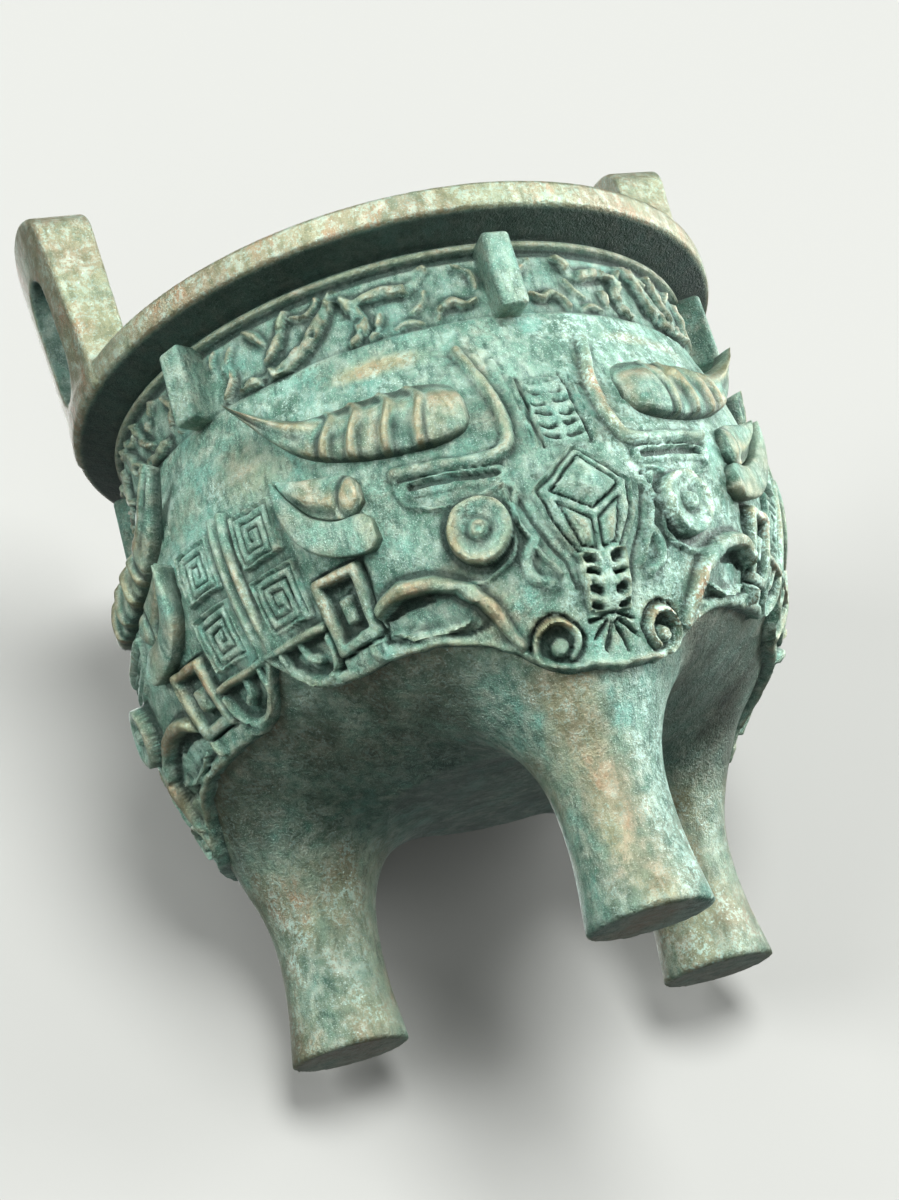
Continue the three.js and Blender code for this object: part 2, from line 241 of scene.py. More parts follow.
leg_radius = through([
    (0, FOOT_RADIUS), (0.11, 0.65 * FOOT_RADIUS + 0.35 * ANKLE_RADIUS),
    (0.28, 0.15 * FOOT_RADIUS + 0.85 * ANKLE_RADIUS), (0.45, ANKLE_RADIUS), (0.62, ANKLE_RADIUS + 0.4),
    (0.76, ANKLE_RADIUS + 1.6), (0.9, ANKLE_RADIUS + 4), (1.01, ANKLE_RADIUS + 7.2),
    (1.13, ANKLE_RADIUS + 12.2), (1.28, ANKLE_RADIUS + 20), (1.4, ANKLE_RADIUS + 25.6),
])
leg_inward = through([
    (0, 0), (0.45, 0.7), (0.76, 1.2), (0.9, 2), (1.01, 4), (1.13, 7.8), (1.28, 14.2), (1.4, 19.4),
])


def polar(x, y):
    return np.hypot(x, y), np.arctan2(-x, -y)


def turned(x, y, degrees):
    """Where points stand as seen by something that was made at the front and then turned in place."""
    c, s = math.cos(math.radians(degrees)), math.sin(math.radians(degrees))
    return x * c - y * s, x * s + y * c


def bowl(x, y, z):
    r, angle = polar(x, y)
    return outside_field(r - swell_at(angle, share_of(z)), z)


def hollow(x, y, z):
    r, angle = polar(x, y)
    lift = np.where(z > cavity_floor + 3, 2, 0)
    swell = swell_at(angle, share_of(z - lift)) * step(cavity_floor, cavity_floor + 6, z)
    return cavity_field(r - swell, z)


def leg(x, y, z, degrees):
    px, py = turned(x, y, degrees)
    share = z / BELLY_BOTTOM
    out = np.hypot(px, py + LEG_CIRCLE - leg_inward(share)) - leg_radius(share)
    slope = (leg_radius(share + 0.02) - leg_radius(share - 0.02)) / (0.04 * BELLY_BOTTOM)
    out = out / np.hypot(1, slope)
    return np.maximum(rounded_corner(out, -z, FOOT_EDGE), z - LEG_TOP)


def solid_form(x, y, z):
    """The outside of bowl, legs and rim without the hollow, negative inside."""
    whole = bowl(x, y, z)
    low = z < LEG_TOP + 2 * LEG_BLEND
    for degrees in LEG_DEGREES:
        whole[low] = smooth_min(whole[low], leg(x[low], y[low], z[low], degrees), LEG_BLEND)
    return whole


handle_outline = np.vstack([
    [(-HANDLE_HALF_WIDTH, rim_low + 0.4)],
    np.stack([HANDLE_SHOULDER_HALF_WIDTH * np.cos(np.linspace(math.pi, 0, 25)),
              RIM_TOP + HANDLE_SHOULDER_HEIGHT
              + (HANDLE_HEIGHT - HANDLE_SHOULDER_HEIGHT) * np.sin(np.linspace(math.pi, 0, 25)) ** 0.9], 1),
    [(HANDLE_HALF_WIDTH, rim_low + 0.4)],
])
handle_field = field_of(handle_outline, (-24, 104), (24, 164))


def handle(x, y, z, degrees):
    across, py = turned(x, y, degrees)
    share = np.maximum(0, (z - RIM_TOP) / HANDLE_HEIGHT)
    bow = RIM_RADIUS - np.sqrt(np.maximum(RIM_RADIUS ** 2 - across ** 2, 1))
    outer = -py - (RIM_RADIUS + HANDLE_OUTER_LEAN * share - bow)
    inner = RIM_RADIUS - HANDLE_THICKNESS + HANDLE_INNER_LEAN * share + py
    hole = np.hypot(across, z - np.clip(z, HOLE_LOW, HOLE_HIGH)) - HOLE_HALF_WIDTH
    outline = np.maximum(handle_field(across, z), -hole)
    return rounded_corner(outline, np.maximum(outer, inner), HANDLE_EDGE)


def numeric_normal(form, p):
    """Outward direction of a form at points, as long as the form is steep."""
    h = 0.05
    return np.stack([
        form(*(p + offset).T) - form(*(p - offset).T) for offset in np.eye(3) * h], 1) / (2 * h)


def grown_mesh(form, low, high, cell):
    """A closed skin over a form given by signed distance, drawn on a grid and then pulled onto it."""
    axes = [np.arange(l - cell, h + 2 * cell, cell) for l, h in zip(low, high)]
    shape = tuple(len(a) for a in axes)
    values = np.empty(shape)
    for i, x in enumerate(axes[0]):
        yy, zz = np.meshgrid(axes[1], axes[2], indexing="ij")
        values[i] = form(np.full(yy.size, x), yy.ravel(), zz.ravel()).reshape(yy.shape)
    inside = values < 0
    corners = [(a, b, c) for a in (0, 1) for b in (0, 1) for c in (0, 1)]
    cells = tuple(n - 1 for n in shape)

    def at(corner, grid):
        return grid[tuple(slice(k, k + n) for k, n in zip(corner, cells))]
    # Each cell that the skin crosses gets one point, at the mean of its crossings
    count = sum(at(c, inside).astype(np.int8) for c in corners)
    mixed = (count > 0) & (count < 8)
    number = np.full(cells, -1)
    number[mixed] = np.arange(mixed.sum())
    where = np.argwhere(mixed)
    total = np.zeros((len(where), 3))
    hits = np.zeros(len(where))
    for a in corners:
        for axis in range(3):
            if a[axis]:
                continue
            b = tuple(1 if k == axis else a[k] for k in range(3))
            va, vb = at(a, values)[mixed], at(b, values)[mixed]
            cut = (va < 0) != (vb < 0)
            t = np.where(cut, va / np.where(cut, va - vb, 1), 0)
            spot = np.array(a, float) + np.outer(t, np.eye(3)[axis])
            total += np.where(cut[:, None], spot, 0)
            hits += cut
    points = where + total / hits[:, None]
    points = points * cell + np.array([a[0] for a in axes])
    faces = []
    for axis in range(3):
        u, v = [k for k in range(3) if k != axis]
        if axis == 1:
            u, v = v, u
        trimmed = [slice(1, n - 1) for n in shape]
        trimmed[axis] = slice(0, shape[axis] - 1)
        ahead = [slice(1, n - 1) for n in shape]
        ahead[axis] = slice(1, shape[axis])
        first, second = inside[tuple(trimmed)], inside[tuple(ahead)]
        for flip, wanted in ((False, first & ~second), (True, ~first & second)):
            at_edge = np.argwhere(wanted)
            base = at_edge + np.array([1 if k != axis else 0 for k in range(3)])
            ring = []
            for du, dv in ((-1, -1), (0, -1), (0, 0), (-1, 0)):
                index = base.copy()
                index[:, u] += du
                index[:, v] += dv
                ring.append(number[tuple(index.T)])
            quad = np.stack(ring, 1)
            faces.append(quad[:, ::-1] if flip else quad)
    # The points are pulled onto the form
    for _ in range(3):
        slope = numeric_normal(form, points)
        steep = np.maximum((slope ** 2).sum(1), 0.05)
        move = -slope * (form(*points.T) / steep)[:, None]
        size = np.linalg.norm(move, axis=1, keepdims=True)
        points = points + move * np.minimum(1, 0.5 * cell / np.maximum(size, 1e-9))
    return points, np.vstack(faces)


# Blender meshes

SHARPEST = 80  # degrees between faces, past which an edge is shown sharp


def piece(name, parts):
    """One object from several closed meshes of (points in mm, faces, {attribute: values})."""
    points = np.vstack([p for p, _, _ in parts]) * MM
    starts, faces = 0, []
    for p, part_faces, _ in parts:
        faces.extend((np.asarray(f) + starts).tolist() for f in part_faces)
        starts += len(p)
    mesh = bpy.data.meshes.new(name)
    mesh.from_pydata(points.tolist(), [], faces)
    for attribute in ("hollow", "worn", "brown", "pale"):
        values = [np.broadcast_to(extra.get(attribute, 0.0), len(p)) for p, _, extra in parts]
        data = mesh.attributes.new(attribute, "FLOAT", "POINT").data
        data.foreach_set("value", np.concatenate(values).astype(np.float32))
    mesh.update()
    made = bpy.data.objects.new(name, mesh)
    bpy.context.scene.collection.objects.link(made)
    bpy.ops.object.select_all(action="DESELECT")
    made.select_set(True)
    bpy.context.view_layer.objects.active = made
    bpy.ops.object.shade_smooth_by_angle(angle=math.radians(SHARPEST))
    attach(made, "root")
    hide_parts(CASTING)
    return made


def grid_faces(rows, columns, closed=False):
    """Quads of a grid of points that are numbered row by row, with columns going round to the left."""
    wrap = columns if closed else columns - 1
    i, j = np.meshgrid(np.arange(rows - 1), np.arange(wrap), indexing="ij")
    a = i * columns + j
    b = i * columns + (j + 1) % columns
    return np.stack([a, a + columns, b + columns, b], -1).reshape(-1, 4)


def blurred(grid, width):
    """A box blur of a grid over so many cells each way."""
    for axis in (0, 1):
        padded = np.concatenate([
            np.repeat(np.take(grid, [0], axis), width, axis), grid,
            np.repeat(np.take(grid, [-1], axis), width, axis)], axis)
        sums = np.cumsum(padded, axis)
        zero = np.zeros_like(np.take(sums, [0], axis))
        sums = np.concatenate([zero, sums], axis)
        size = grid.shape[axis]
        ahead = np.take(sums, np.arange(size) + 2 * width + 1, axis)
        grid = (ahead - np.take(sums, np.arange(size), axis)) / (2 * width + 1)
    return grid


# Unevenness of the casting

PERIOD = 32
lattice = np.random.default_rng(11).random((PERIOD, PERIOD, PERIOD)) * 2 - 1


def uneven(x, y, z):
    """Smooth noise from -1 to 1 that repeats each PERIOD, with lumps about one unit wide."""
    cell = [np.floor(c).astype(int) for c in (x, y, z)]
    part = [step(0, 1, c - i) for c, i in zip((x, y, z), cell)]
    total = 0
    for i in (0, 1):
        for j in (0, 1):
            for k in (0, 1):
                weight = 1
                for side, t in zip((i, j, k), part):
                    weight = weight * (t if side else 1 - t)
                corner = tuple((c + n) % PERIOD for c, n in zip(cell, (i, j, k)))
                total = total + weight * lattice[corner]
    return total


# The relief of a mask

ARC = 57  # the radius at which degrees on the belly are turned into millimetres
PITCH = 1.4  # spacing of the spirals' grooves
EYE = (16.8, 60)  # places of the mask's middles, as [degrees, height]
NOSTRIL = (9.5, 41.6)
NOSTRIL_KNOB = (9.1, 41)


def on_wall(points):
    """[degrees, height] to millimetres across and up."""
    return [(math.radians(d) * ARC, h) for d, h in points]


def ridge(distance, half, rise, side=0.5):
    """A rib with steep sides and a crowned top."""
    t = np.clip((half - distance) / side, 0, 1)
    crown = 0.8 + 0.2 * np.clip(1 - (distance / half) ** 2, 0, 1)
    return rise * t * t * (3 - 2 * t) * crown


mask_edge = through([
    (0, 36.4), (5, 36.6), (9, 37.2), (13, 39.8), (17, 42.6), (22, 44.8), (27, 46.2), (33, 47),
    (37, 47.4), (42, 47.8), (46, 48), (50, 48.4), (54, 50), (57, 52.4), (60, 55.2),
])


class Relief:
    """Heights in mm over points of the wall, raised and sunk along lines and inside outlines.

    Points are [degrees, height], or millimetres across and up with in_mm.
    """

    def __init__(self, u, v):
        self.u, self.v = u, v
        self.height = np.zeros(u.shape)

    def near(self, points, reach):
        low, high = points.min(0) - reach, points.max(0) + reach
        return (self.u > low[0]) & (self.u < high[0]) & (self.v > low[1]) & (self.v < high[1])

    def line(self, points, half, rise, smooth=True, side=0.5, cut=False, bead=False, taper=0, in_mm=False):
        """A raised line, a sunk one with cut, or a round one with bead. taper thins both its ends."""
        points = points if in_mm else on_wall(points)
        path = rounded_path(points) if smooth else np.array(points, float)
        at = self.near(path, half + 0.5)
        d, share = path_distance(self.u[at], self.v[at], path)
        half = half * (1 - taper * np.abs(2 * share - 1) ** 2)
        form = rise * np.sqrt(np.clip(1 - (d / half) ** 2, 0, 1)) if bead else ridge(d, half, rise, side)
        self.height[at] = self.height[at] - form if cut else np.maximum(self.height[at], form)

    def plate(self, outline, rise, side=0.6, level=False, in_mm=False):
        """A raised patch. With level, what stands inside the outline is first brought down to the wall."""
        outline = np.array(outline if in_mm else on_wall(outline), float)
        at = self.near(outline, 1)
        inside = -area_distance(self.u[at], self.v[at], outline)
        old = self.height[at]
        if level:
            old = old * (1 - step(-0.3, 0.3, inside))
        self.height[at] = np.maximum(old, rise * step(0, side, inside))

    def from_place(self, place, squash=1):
        """Distance in mm from one place on the wall."""
        (across, up), = on_wall([place])
        return np.hypot(self.u - across, (self.v - up) * squash)


def brow_and_slot(form):
    """A plate round the horn's butt with a bead along its edge, and the framed slot below it."""
    form.plate([(11.4, 90.4), (9, 85), (8.6, 76), (10, 72.2), (13, 71.2), (27, 72.4), (24, 80), (14, 90)],
               0.8, 1.2)
    form.line([(11.7, 91.6), (10.6, 88.2), (9.2, 84), (8.5, 79.6), (8.5, 75.6), (9.4, 72.6), (11.6, 71.1),
               (16, 71.3), (21, 72), (26.8, 72.9)], 1.2, 2.0, bead=True)
    form.line([(5.9, 88), (5.6, 80), (5.3, 73.5)], 0.5, 1.0)
    form.line([(11.6, 66.2), (18, 65.2), (23.4, 65.8), (26, 67.6), (27.2, 70.4), (27, 72)], 0.6, 1.2)
    form.line([(26, 69.8), (12, 68.2)], 1.7, 1.1, smooth=False)
    form.line([(24.8, 70), (12.2, 68.3)], 0.75, 2.1, smooth=False, side=0.4, cut=True)


def forehead_comb(form):
    """Small cut hooks between upright lines."""
    form.plate([(-1, 84.4), (4.2, 84.4), (4.2, 70.6), (-1, 70.6)], 1.1)
    form.line([(4.9, 85), (4.7, 71)], 0.45, 1.6, smooth=False)
    form.line([(3.9, 85), (3.7, 71)], 0.4, 0.8, smooth=False, side=0.3, cut=True)
    for row, depth in enumerate((1.5, 1.5, 1.4, 1.2, 0.8, 0.6)):
        low = 71.9 + row * 2.2
        form.line([(0.9, low), (2.2, low + 0.2), (2.9, low + 0.9)], 0.5, depth, side=0.4, cut=True)


def shield(form):
    """A shield with sunk outlines and two raised facets in it."""
    form.plate([(0, 71), (8.6, 64.2), (7.2, 58.4), (4, 52.6), (-4, 52.6), (-7.2, 58.4), (-8.6, 64.2)], 1.6)
    form.line([(0, 69.6), (7.3, 63.8), (6, 58.6), (3.2, 53.4)], 0.48, 1.1, smooth=False, side=0.4, cut=True)
    form.line([(10.8, 65.4), (9.6, 61.6), (7.9, 57), (5.6, 52.4), (4.8, 49)], 0.5, 0.9, side=0.4, cut=True)
    form.line([(12, 65), (10.9, 60), (9, 55), (6.8, 51)], 0.6, 1.5)
    upper = on_wall([(0, 68), (5.4, 63.4), (0, 60), (-5.4, 63.4)])
    inside = -area_distance(form.u, form.v, np.array(upper))
    form.height = np.where(inside > -0.4, 1.4 * step(0, -0.4, inside), form.height)
    form.height = np.maximum(form.height, np.where(inside > 0, 1.4 + 0.75 * np.minimum(inside, 2), 0))
    lower = on_wall([(5, 61.4), (0.5, 58.2), (0.5, 53.8), (2.6, 54.2)])
    inside = -area_distance(form.u, form.v, np.array(lower))
    form.height = np.where(inside > 0, 1.2 + 0.8 * np.minimum(inside, 1.6), form.height)
    form.line(lower + lower[:1], 0.34, 0.7, smooth=False, side=0.3, cut=True, in_mm=True)


def nose(form):
    """Dark holes in rows on either side of a middle line, and rays below."""
    form.plate([(-1, 53.8), (4.1, 53.6), (4.1, 45.2), (2.6, 44.2), (-1, 44.2)], 2.1, 0.5)
    for row in range(4):
        low = 52 - 2.15 * row
        form.line([(1.6, low), (2.7, low + 0.35)], 0.72, 2.1, smooth=False, cut=True)
    form.plate([(-1, 44.8), (3.8, 44.6), (5.2, 38.8), (-1, 38)], 1.8, 0.7)
    for turn, reach in ((17, 5.6), (48, 5.2), (78, 4)):
        x, y = math.sin(math.radians(turn)), math.cos(math.radians(turn))
        form.line([(x * 1.2, 44.2 - y * 1.2), (x * reach, 44.2 - y * reach)], 0.5, 1.5, smooth=False,
                  side=0.4, cut=True, taper=0.3, in_mm=True)


def eye(form):
    """A tall boss with a ring and a pupil, and the fold of the lid beside it."""
    away = form.from_place(EYE, 0.96)
    form.height = np.where(away < 7, np.minimum(form.height, 0.8 + 2 * step(5.4, 7, away)), form.height)
    boss = 3.6 * (1 - step(4.4, 5.2, away)) - 0.7 * (1 - step(2.4, 3.9, away))
    ring = -0.4 * np.exp(-((away - 1.7) / 0.4) ** 2) * (away < 4)
    pupil = 0.7 * (1 - step(0.9, 1.5, away)) - 0.5 * (1 - step(0.2, 0.6, away))
    form.height = np.where(away < 5.4, np.maximum(form.height, boss + ring + pupil), form.height)
    form.line([(10.2, 64.4), (11.9, 60), (12.6, 55.6), (17.4, 52.8), (22, 53.6)], 0.7, 1.4)
    form.line([(9.2, 56.6), (11, 54.2), (10.8, 51.4), (8.4, 49.8)], 1.0, 1.5, bead=True)


def nostril(form):
    """A ring curled round a knob."""
    centre, = on_wall([NOSTRIL])
    form.plate(arc(centre, 4.4, 0, 330, 12), 0.5, 0.5, level=True, in_mm=True)
    form.line(arc(centre, 3.2, -75, 230, 14), 1.0, 2.7, side=0.8, in_mm=True)
    form.height = np.maximum(form.height, 2.7 * (1 - step(0.9, 1.75, form.from_place(NOSTRIL_KNOB))))


def jaw(form):
    """An arch with a slit and a dish under it."""
    form.plate([(36.2, 49.4), (35, 52.8), (31, 54.4), (26, 53.6), (21, 51), (18.2, 47), (22, 46.4),
                (30, 48)], 0.7, 0.5, level=True)
    form.line([(38, 49.2), (36.9, 52.6), (34.2, 55), (30.4, 55.9), (25.6, 54.9), (21, 52.2), (17.9, 48.6),
               (16, 45.2), (14.6, 42.8)], 1.9, 3.3, side=1.3, taper=0.2)
    form.line([(34.2, 52.6), (30.4, 53.3), (26.4, 52.6)], 0.85, 1.9, cut=True, taper=0.5)
    form.line([(35, 50.4), (31.4, 48.9), (26.6, 48), (22.8, 48.2), (20.6, 49.2)], 0.9, 2.1, side=0.8,
              taper=0.5)


def square_ring(form):
    """A square ring with a tongue in it."""
    form.plate([(45.6, 63.2), (35.8, 63.2), (35.6, 50.9), (45.6, 50.9)], 0.2, 0.4, level=True)
    form.line([(44.4, 61.8), (37.2, 61.8), (36.9, 52), (44.4, 52), (44.4, 61.8)], 1.25, 2.5, smooth=False,
              side=0.6)
    form.plate([(42, 58.7), (39.4, 58.7), (39.3, 54.4), (41.8, 54.4)], 2.0, 0.5)


def curl_below_squares(form):
    """A bar over a bowl-shaped line, with a tongue."""
    form.plate([(58, 57), (45.8, 57), (45.4, 49), (52, 48.4), (57, 51)], 0.1, 0.5, level=True)
    form.line([(60, 56.5), (46.2, 56.3)], 1.05, 2.4, smooth=False, side=0.7)
    form.line([(57, 55.4), (56.2, 51.8), (53, 49.7), (49.4, 49.4), (46.8, 51), (46.2, 54.8)], 1.15, 2.4,
              side=0.9)
    form.line([(52.6, 55.4), (52, 53.6), (50.4, 52.6)], 1.0, 1.9, side=0.7)


def spiral(centre, half_u, half_v):
    """The corners of an angular spiral that fills a rectangle from its outside in."""
    x, y = centre
    left, right, low, high = x - half_u, x + half_u, y - half_v, y + half_v
    points = [(left, low)]
    while right - left > PITCH and high - low > PITCH:
        points += [(left, high), (right, high), (right, low), (left + PITCH, low)]
        left, right, low, high = left + PITCH, right - PITCH, low + PITCH, high - PITCH
        points += [(left, low)] if right - left > PITCH else []
    return points


def ridge_and_spirals(form):
    """The upright ridge between this mask and the next, and two square plates with cut spirals."""
    form.line([(58.9, 79.8), (58.9, 56.6)], 1.0, 2.0, smooth=False, side=0.6)
    right, margin = 57.2, 0.95
    for low, high, left in ((69.2, 78.7, 47.8), (58.2, 67.8, 47)):
        form.plate([(right, low), (left, low), (left, high), (right, high)], 1.6, 0.4)
        middle, = on_wall([((right + left) / 2, (low + high) / 2)])
        half_u = math.radians((right - left) / 2) * ARC - margin
        form.line(spiral(middle, half_u, (high - low) / 2 - margin), 0.45, 0.75, smooth=False, side=0.45,
                  cut=True, in_mm=True)


def relief_of(u, v, seed):
    """How far a mask stands off the wall, at points across from its middle and up. Its halves mirror."""
    # Hand-cut wax wanders: most at the forehead, and not at all at the seam between two masks
    inland = 1 - step(54, 60, np.degrees(np.abs(u) / ARC))
    loose = step(7, 4, np.abs(u)) * (1 - step(52, 55, v) * (1 - step(69, 71, v)))
    small, large = 0.16 * inland + 0.26 * loose, 0.2 * inland
    wobble_u = u + small * uneven(u / 2.2, v / 2.2, seed) + large * uneven(u / 7, v / 7, seed + 5)
    wobble_v = v + small * uneven(u / 2.2, v / 2.2, seed + 9) + large * uneven(u / 7, v / 7, seed + 13)
    form = Relief(np.abs(wobble_u), wobble_v)
    above = form.v - mask_edge(np.degrees(form.u / ARC))
    # The mask's lower part is a plate on the wall, thickest along its edge
    form.height += 1.7 * step(0, 0.7, above) * (1 - 0.7 * step(3, 13, above))
    for carve in (brow_and_slot, forehead_comb, shield, nose, eye, nostril, jaw, square_ring,
                  curl_below_squares, ridge_and_spirals):
        carve(form)
    # The lower edge, where the mask drops to the smooth wall
    across = np.linspace(0, 60, 40)
    form.line(np.stack([across, mask_edge(across) + 0.8], 1), 1.0, 2.0, smooth=False, side=0.7)
    form.height *= step(-0.5, 0.4, above)
    pits = step(0.35, 0.75, uneven(u / 0.9, v / 0.9, seed + 31))
    pits = pits * step(-0.2, 0.4, uneven(u / 6, v / 6, seed + 17))
    rough = 0.1 * uneven(u / 1.7, v / 1.7, seed + 3) + 0.12 * uneven(u / 5, v / 5, seed + 7) - 0.2 * pits
    return form.height + rough * inland - 1.3 * step(0.2, 1.6, -above)


# Panels of the belly

FINE_COLUMN, WIDE_COLUMN = 0.27, 0.34  # widths of the panels' cells
SQUARES = (45.6, 58.2)  # the stretch with the spirals, in millimetres from the mask's middle
FINE_ROW, WIDE_ROW = 0.0044, 0.0062  # heights of the cells, as shares of a panel's height
SQUARE_ROWS = (0.33, 0.71)
PANEL_DIP = 2.2  # how far a panel goes down behind the smooth wall
PANEL_TOP = SHOULDER + 0.2
PANEL_BACK = 1.6
arc_span = math.radians(60) * ARC


def graded(low, high, zone_low, zone_high, small, large):
    """Places from low to high, closer together between zone_low and zone_high."""
    parts = []
    stretches = ((low, zone_low, large), (zone_low, zone_high, small), (zone_high, high, large))
    for start, end, size in stretches:
        if end > start:
            parts.append(np.linspace(start, end, max(2, round((end - start) / size) + 1))[:-1])
    return np.concatenate([*parts, [high]])


half_columns = graded(0, arc_span, *SQUARES, FINE_COLUMN, WIDE_COLUMN)
columns = np.concatenate([-half_columns[:0:-1], half_columns])


def panel_places():
    """Arc and height of each point of a panel, whose lower edge follows the mask."""
    low = mask_edge(np.degrees(np.abs(columns) / ARC)) - PANEL_DIP
    rows = graded(0, 1, *SQUARE_ROWS, FINE_ROW, WIDE_ROW)[:, None]
    v = low[None, :] * (1 - rows) + PANEL_TOP * rows
    # Rows run level where the squares are, so that their lines stay straight
    level = 30 + rows * (PANEL_TOP - 30)
    blend = step(0.2, 0.4, rows)
    v = v * (1 - blend) + np.maximum(level, v) * blend
    return np.broadcast_to(columns, v.shape), v


def wall_radius(angle, height):
    """Radius of the smooth casting at angles and heights, found from outside in."""
    near, far = np.full(angle.shape, 33.0), np.full(angle.shape, 74.0)
    for _ in range(22):
        middle = (near + far) / 2
        x, y = -middle * np.sin(angle), -middle * np.cos(angle)
        out = solid_form(x.ravel(), y.ravel(), height.ravel()).reshape(angle.shape) > 0
        far = np.where(out, middle, far)
        near = np.where(out, near, middle)
    return (near + far) / 2


def wall_frame(angle, height):
    """Points on the smooth wall and their outward directions."""
    r = wall_radius(angle, height)
    points = np.stack([-r * np.sin(angle), -r * np.cos(angle), height], -1)
    slope = numeric_normal(solid_form, points.reshape(-1, 3))
    slope /= np.linalg.norm(slope, axis=1, keepdims=True)
    return points, slope.reshape(points.shape)


panel_u, panel_v = panel_places()

# Where a mask is rubbed brown: [degrees, height, half width in degrees, half height, how much]
BROWN_PLACES = [
    (26, 93.2, 9, 1.6, 1.0), (52, 84, 7, 6, 0.6), (9, 82, 1.8, 9.5, 0.6), (19, 72, 9, 1, 0.5),
    (28, 55.4, 9, 2.2, 0.75), (18, 48.6, 3.4, 4, 0.6), (40.8, 62, 4.8, 1.4, 0.8),
    (44.4, 57, 1.4, 5, 0.5), (52, 56.4, 7, 1.3, 0.7), (9.5, 44.6, 4, 1.4, 0.7), (1, 64.5, 4, 3, 0.6),
    (3, 57.6, 2, 3.4, 0.5), (58.9, 67, 1.1, 11, 0.45), (20.6, 60, 1.6, 4, 0.6),
    (24, 47.4, 8, 1.2, 0.4), (0, 80, 3, 5, 0.35),
]


def panel(middle):
    """A closed slab with one mask on it: the relief in front, a plain back behind it."""
    angle = math.radians(middle) + panel_u / ARC
    points, normals = wall_frame(angle, panel_v)
    relief = relief_of(panel_u, panel_v, middle)
    front = points + normals * relief[..., None]
    rows, cols = relief.shape
    back_rows = np.linspace(0, rows - 1, 7).astype(int)
    back = (points - normals * PANEL_BACK)[back_rows]
    count = rows * cols
    faces = grid_faces(rows, cols).tolist()
    faces += (grid_faces(len(back_rows), cols)[:, ::-1] + count).tolist()
    top, last = (rows - 1) * cols, count + (len(back_rows) - 1) * cols
    for j in range(cols - 1):
        faces.append([j + 1, count + j + 1, count + j, j])
        faces.append([top + j, last + j, last + j + 1, top + j + 1])
    for column, turn in ((0, 1), (cols - 1, -1)):
        ring = [i * cols + column for i in range(rows)]
        ring += [count + i * cols + column for i in range(len(back_rows) - 1, -1, -1)]
        faces.append(ring[::turn])
    extra = {name: np.concatenate([share.ravel(), np.zeros(back.size // 3)])
             for name, share in panel_finish(relief, middle).items()}
    return np.vstack([front.reshape(-1, 3), back.reshape(-1, 3)]), faces, extra


def panel_finish(relief, middle):
    """Where a panel gets painted shade in its recesses, and where it is rubbed to metal, brown or pale."""
    near, wide = blurred(relief, 4), blurred(blurred(relief, 4), 10)
    degrees = np.degrees(np.abs(panel_u) / ARC)
    patches = uneven(panel_u / 9, panel_v / 9, middle + 21.3)
    rubbed = np.clip(0.6 + 0.6 * uneven(panel_u / 8, panel_v / 5, middle + 40), 0.15, 1)
    places = np.max([
        strength * np.exp(-(((degrees - d) / half) ** 2) - ((panel_v - h) / tall) ** 2)
        for d, h, half, tall, strength in BROWN_PLACES], 0)
    # The right half of the front mask is painted paler, a painted highlight from the light on the right
    painted_glare = 0.5 * step(2, -10, panel_u) * (middle == 0)
    return {
        # painted shade: darker in the relief's recesses and where it sinks below the wall
        "hollow": np.clip((near - relief) / 0.8, 0, 1) + 0.4 * step(0.1, -0.6, relief)
        + 0.3 * np.clip((wide - relief) / 1.2, 0, 1),
        "worn": np.clip((relief - near) / 0.8, 0, 1) * step(0.8, 2.2, relief) * rubbed,
        "brown": np.clip(places * (1 + 0.5 * patches) + 0.25 * patches - 0.1, 0, 1),
        "pale": np.clip(0.2 + 0.3 * uneven(panel_u / 6, panel_v / 6, middle + 4) + painted_glare, 0, 1),
    }


def lobe(middle, side, upper, lower, stations, sides, squareness, form):
    """A closed body on the wall between two edges, given from its root to its tip as [degrees, height].

    A low squareness gives it steep sides and a flat face. form(share, across) gives how far its face
    and its back stand off the wall, across running from -1 at the lower edge to 1 at the upper one.
    """
    share = np.linspace(0, 1, stations)
    edges = []
    for points in (upper, lower):
        line = rounded_path(on_wall(points), 0.2)
        along = np.concatenate([[0], np.cumsum(np.linalg.norm(np.diff(line, axis=0), axis=1))])
        edges.append(np.stack([np.interp(share * along[-1], along, line[:, k]) for k in (0, 1)], 1))
    around = np.linspace(0, 2 * math.pi, sides, endpoint=False)
    s, t = np.meshgrid(share, around, indexing="ij")
    across = np.cos(t)
    mix = (across + 1)[..., None] / 2
    flat = edges[0][:, None] * mix + edges[1][:, None] * (1 - mix)
    face, back = form(s, across)
    round_over = np.abs(np.sin(t)) ** squareness
    middle_off = (face + back) / 2
    off = middle_off + np.where(np.sin(t) > 0, face - middle_off, back - middle_off) * round_over
    angle = math.radians(middle) + side * flat[..., 0] / ARC
    points, normals = wall_frame(angle, np.clip(flat[..., 1], 34, SHOULDER - 1))
    points[..., 2] = flat[..., 1]
    points = (points + normals * off[..., None]).reshape(-1, 3)
    faces = grid_faces(stations, sides, closed=True)[:, ::side]
    ends = [list(range(sides)), list(range((stations - 1) * sides, stations * sides))[::-1]]
    proud = (face - blurred(face, 4)) * (np.sin(t) > 0)
    patches = uneven(flat[..., 0] / 4, flat[..., 1] / 4, middle + side)
    extra = {
        "worn": np.clip(proud / 0.35, 0, 1).ravel(),
        # painted shade: darker in the face's dips and on the side that faces the wall
        "hollow": (np.clip(-proud / 0.45, 0, 0.8) + 0.7 * step(0.3, -0.1, np.sin(t))).ravel(),
        "brown": np.clip(0.22 + 0.45 * patches, 0, 1).ravel(),
        "pale": 0.15,
    }
    return points, [*faces.tolist(), *[end[::side] for end in ends]], extra


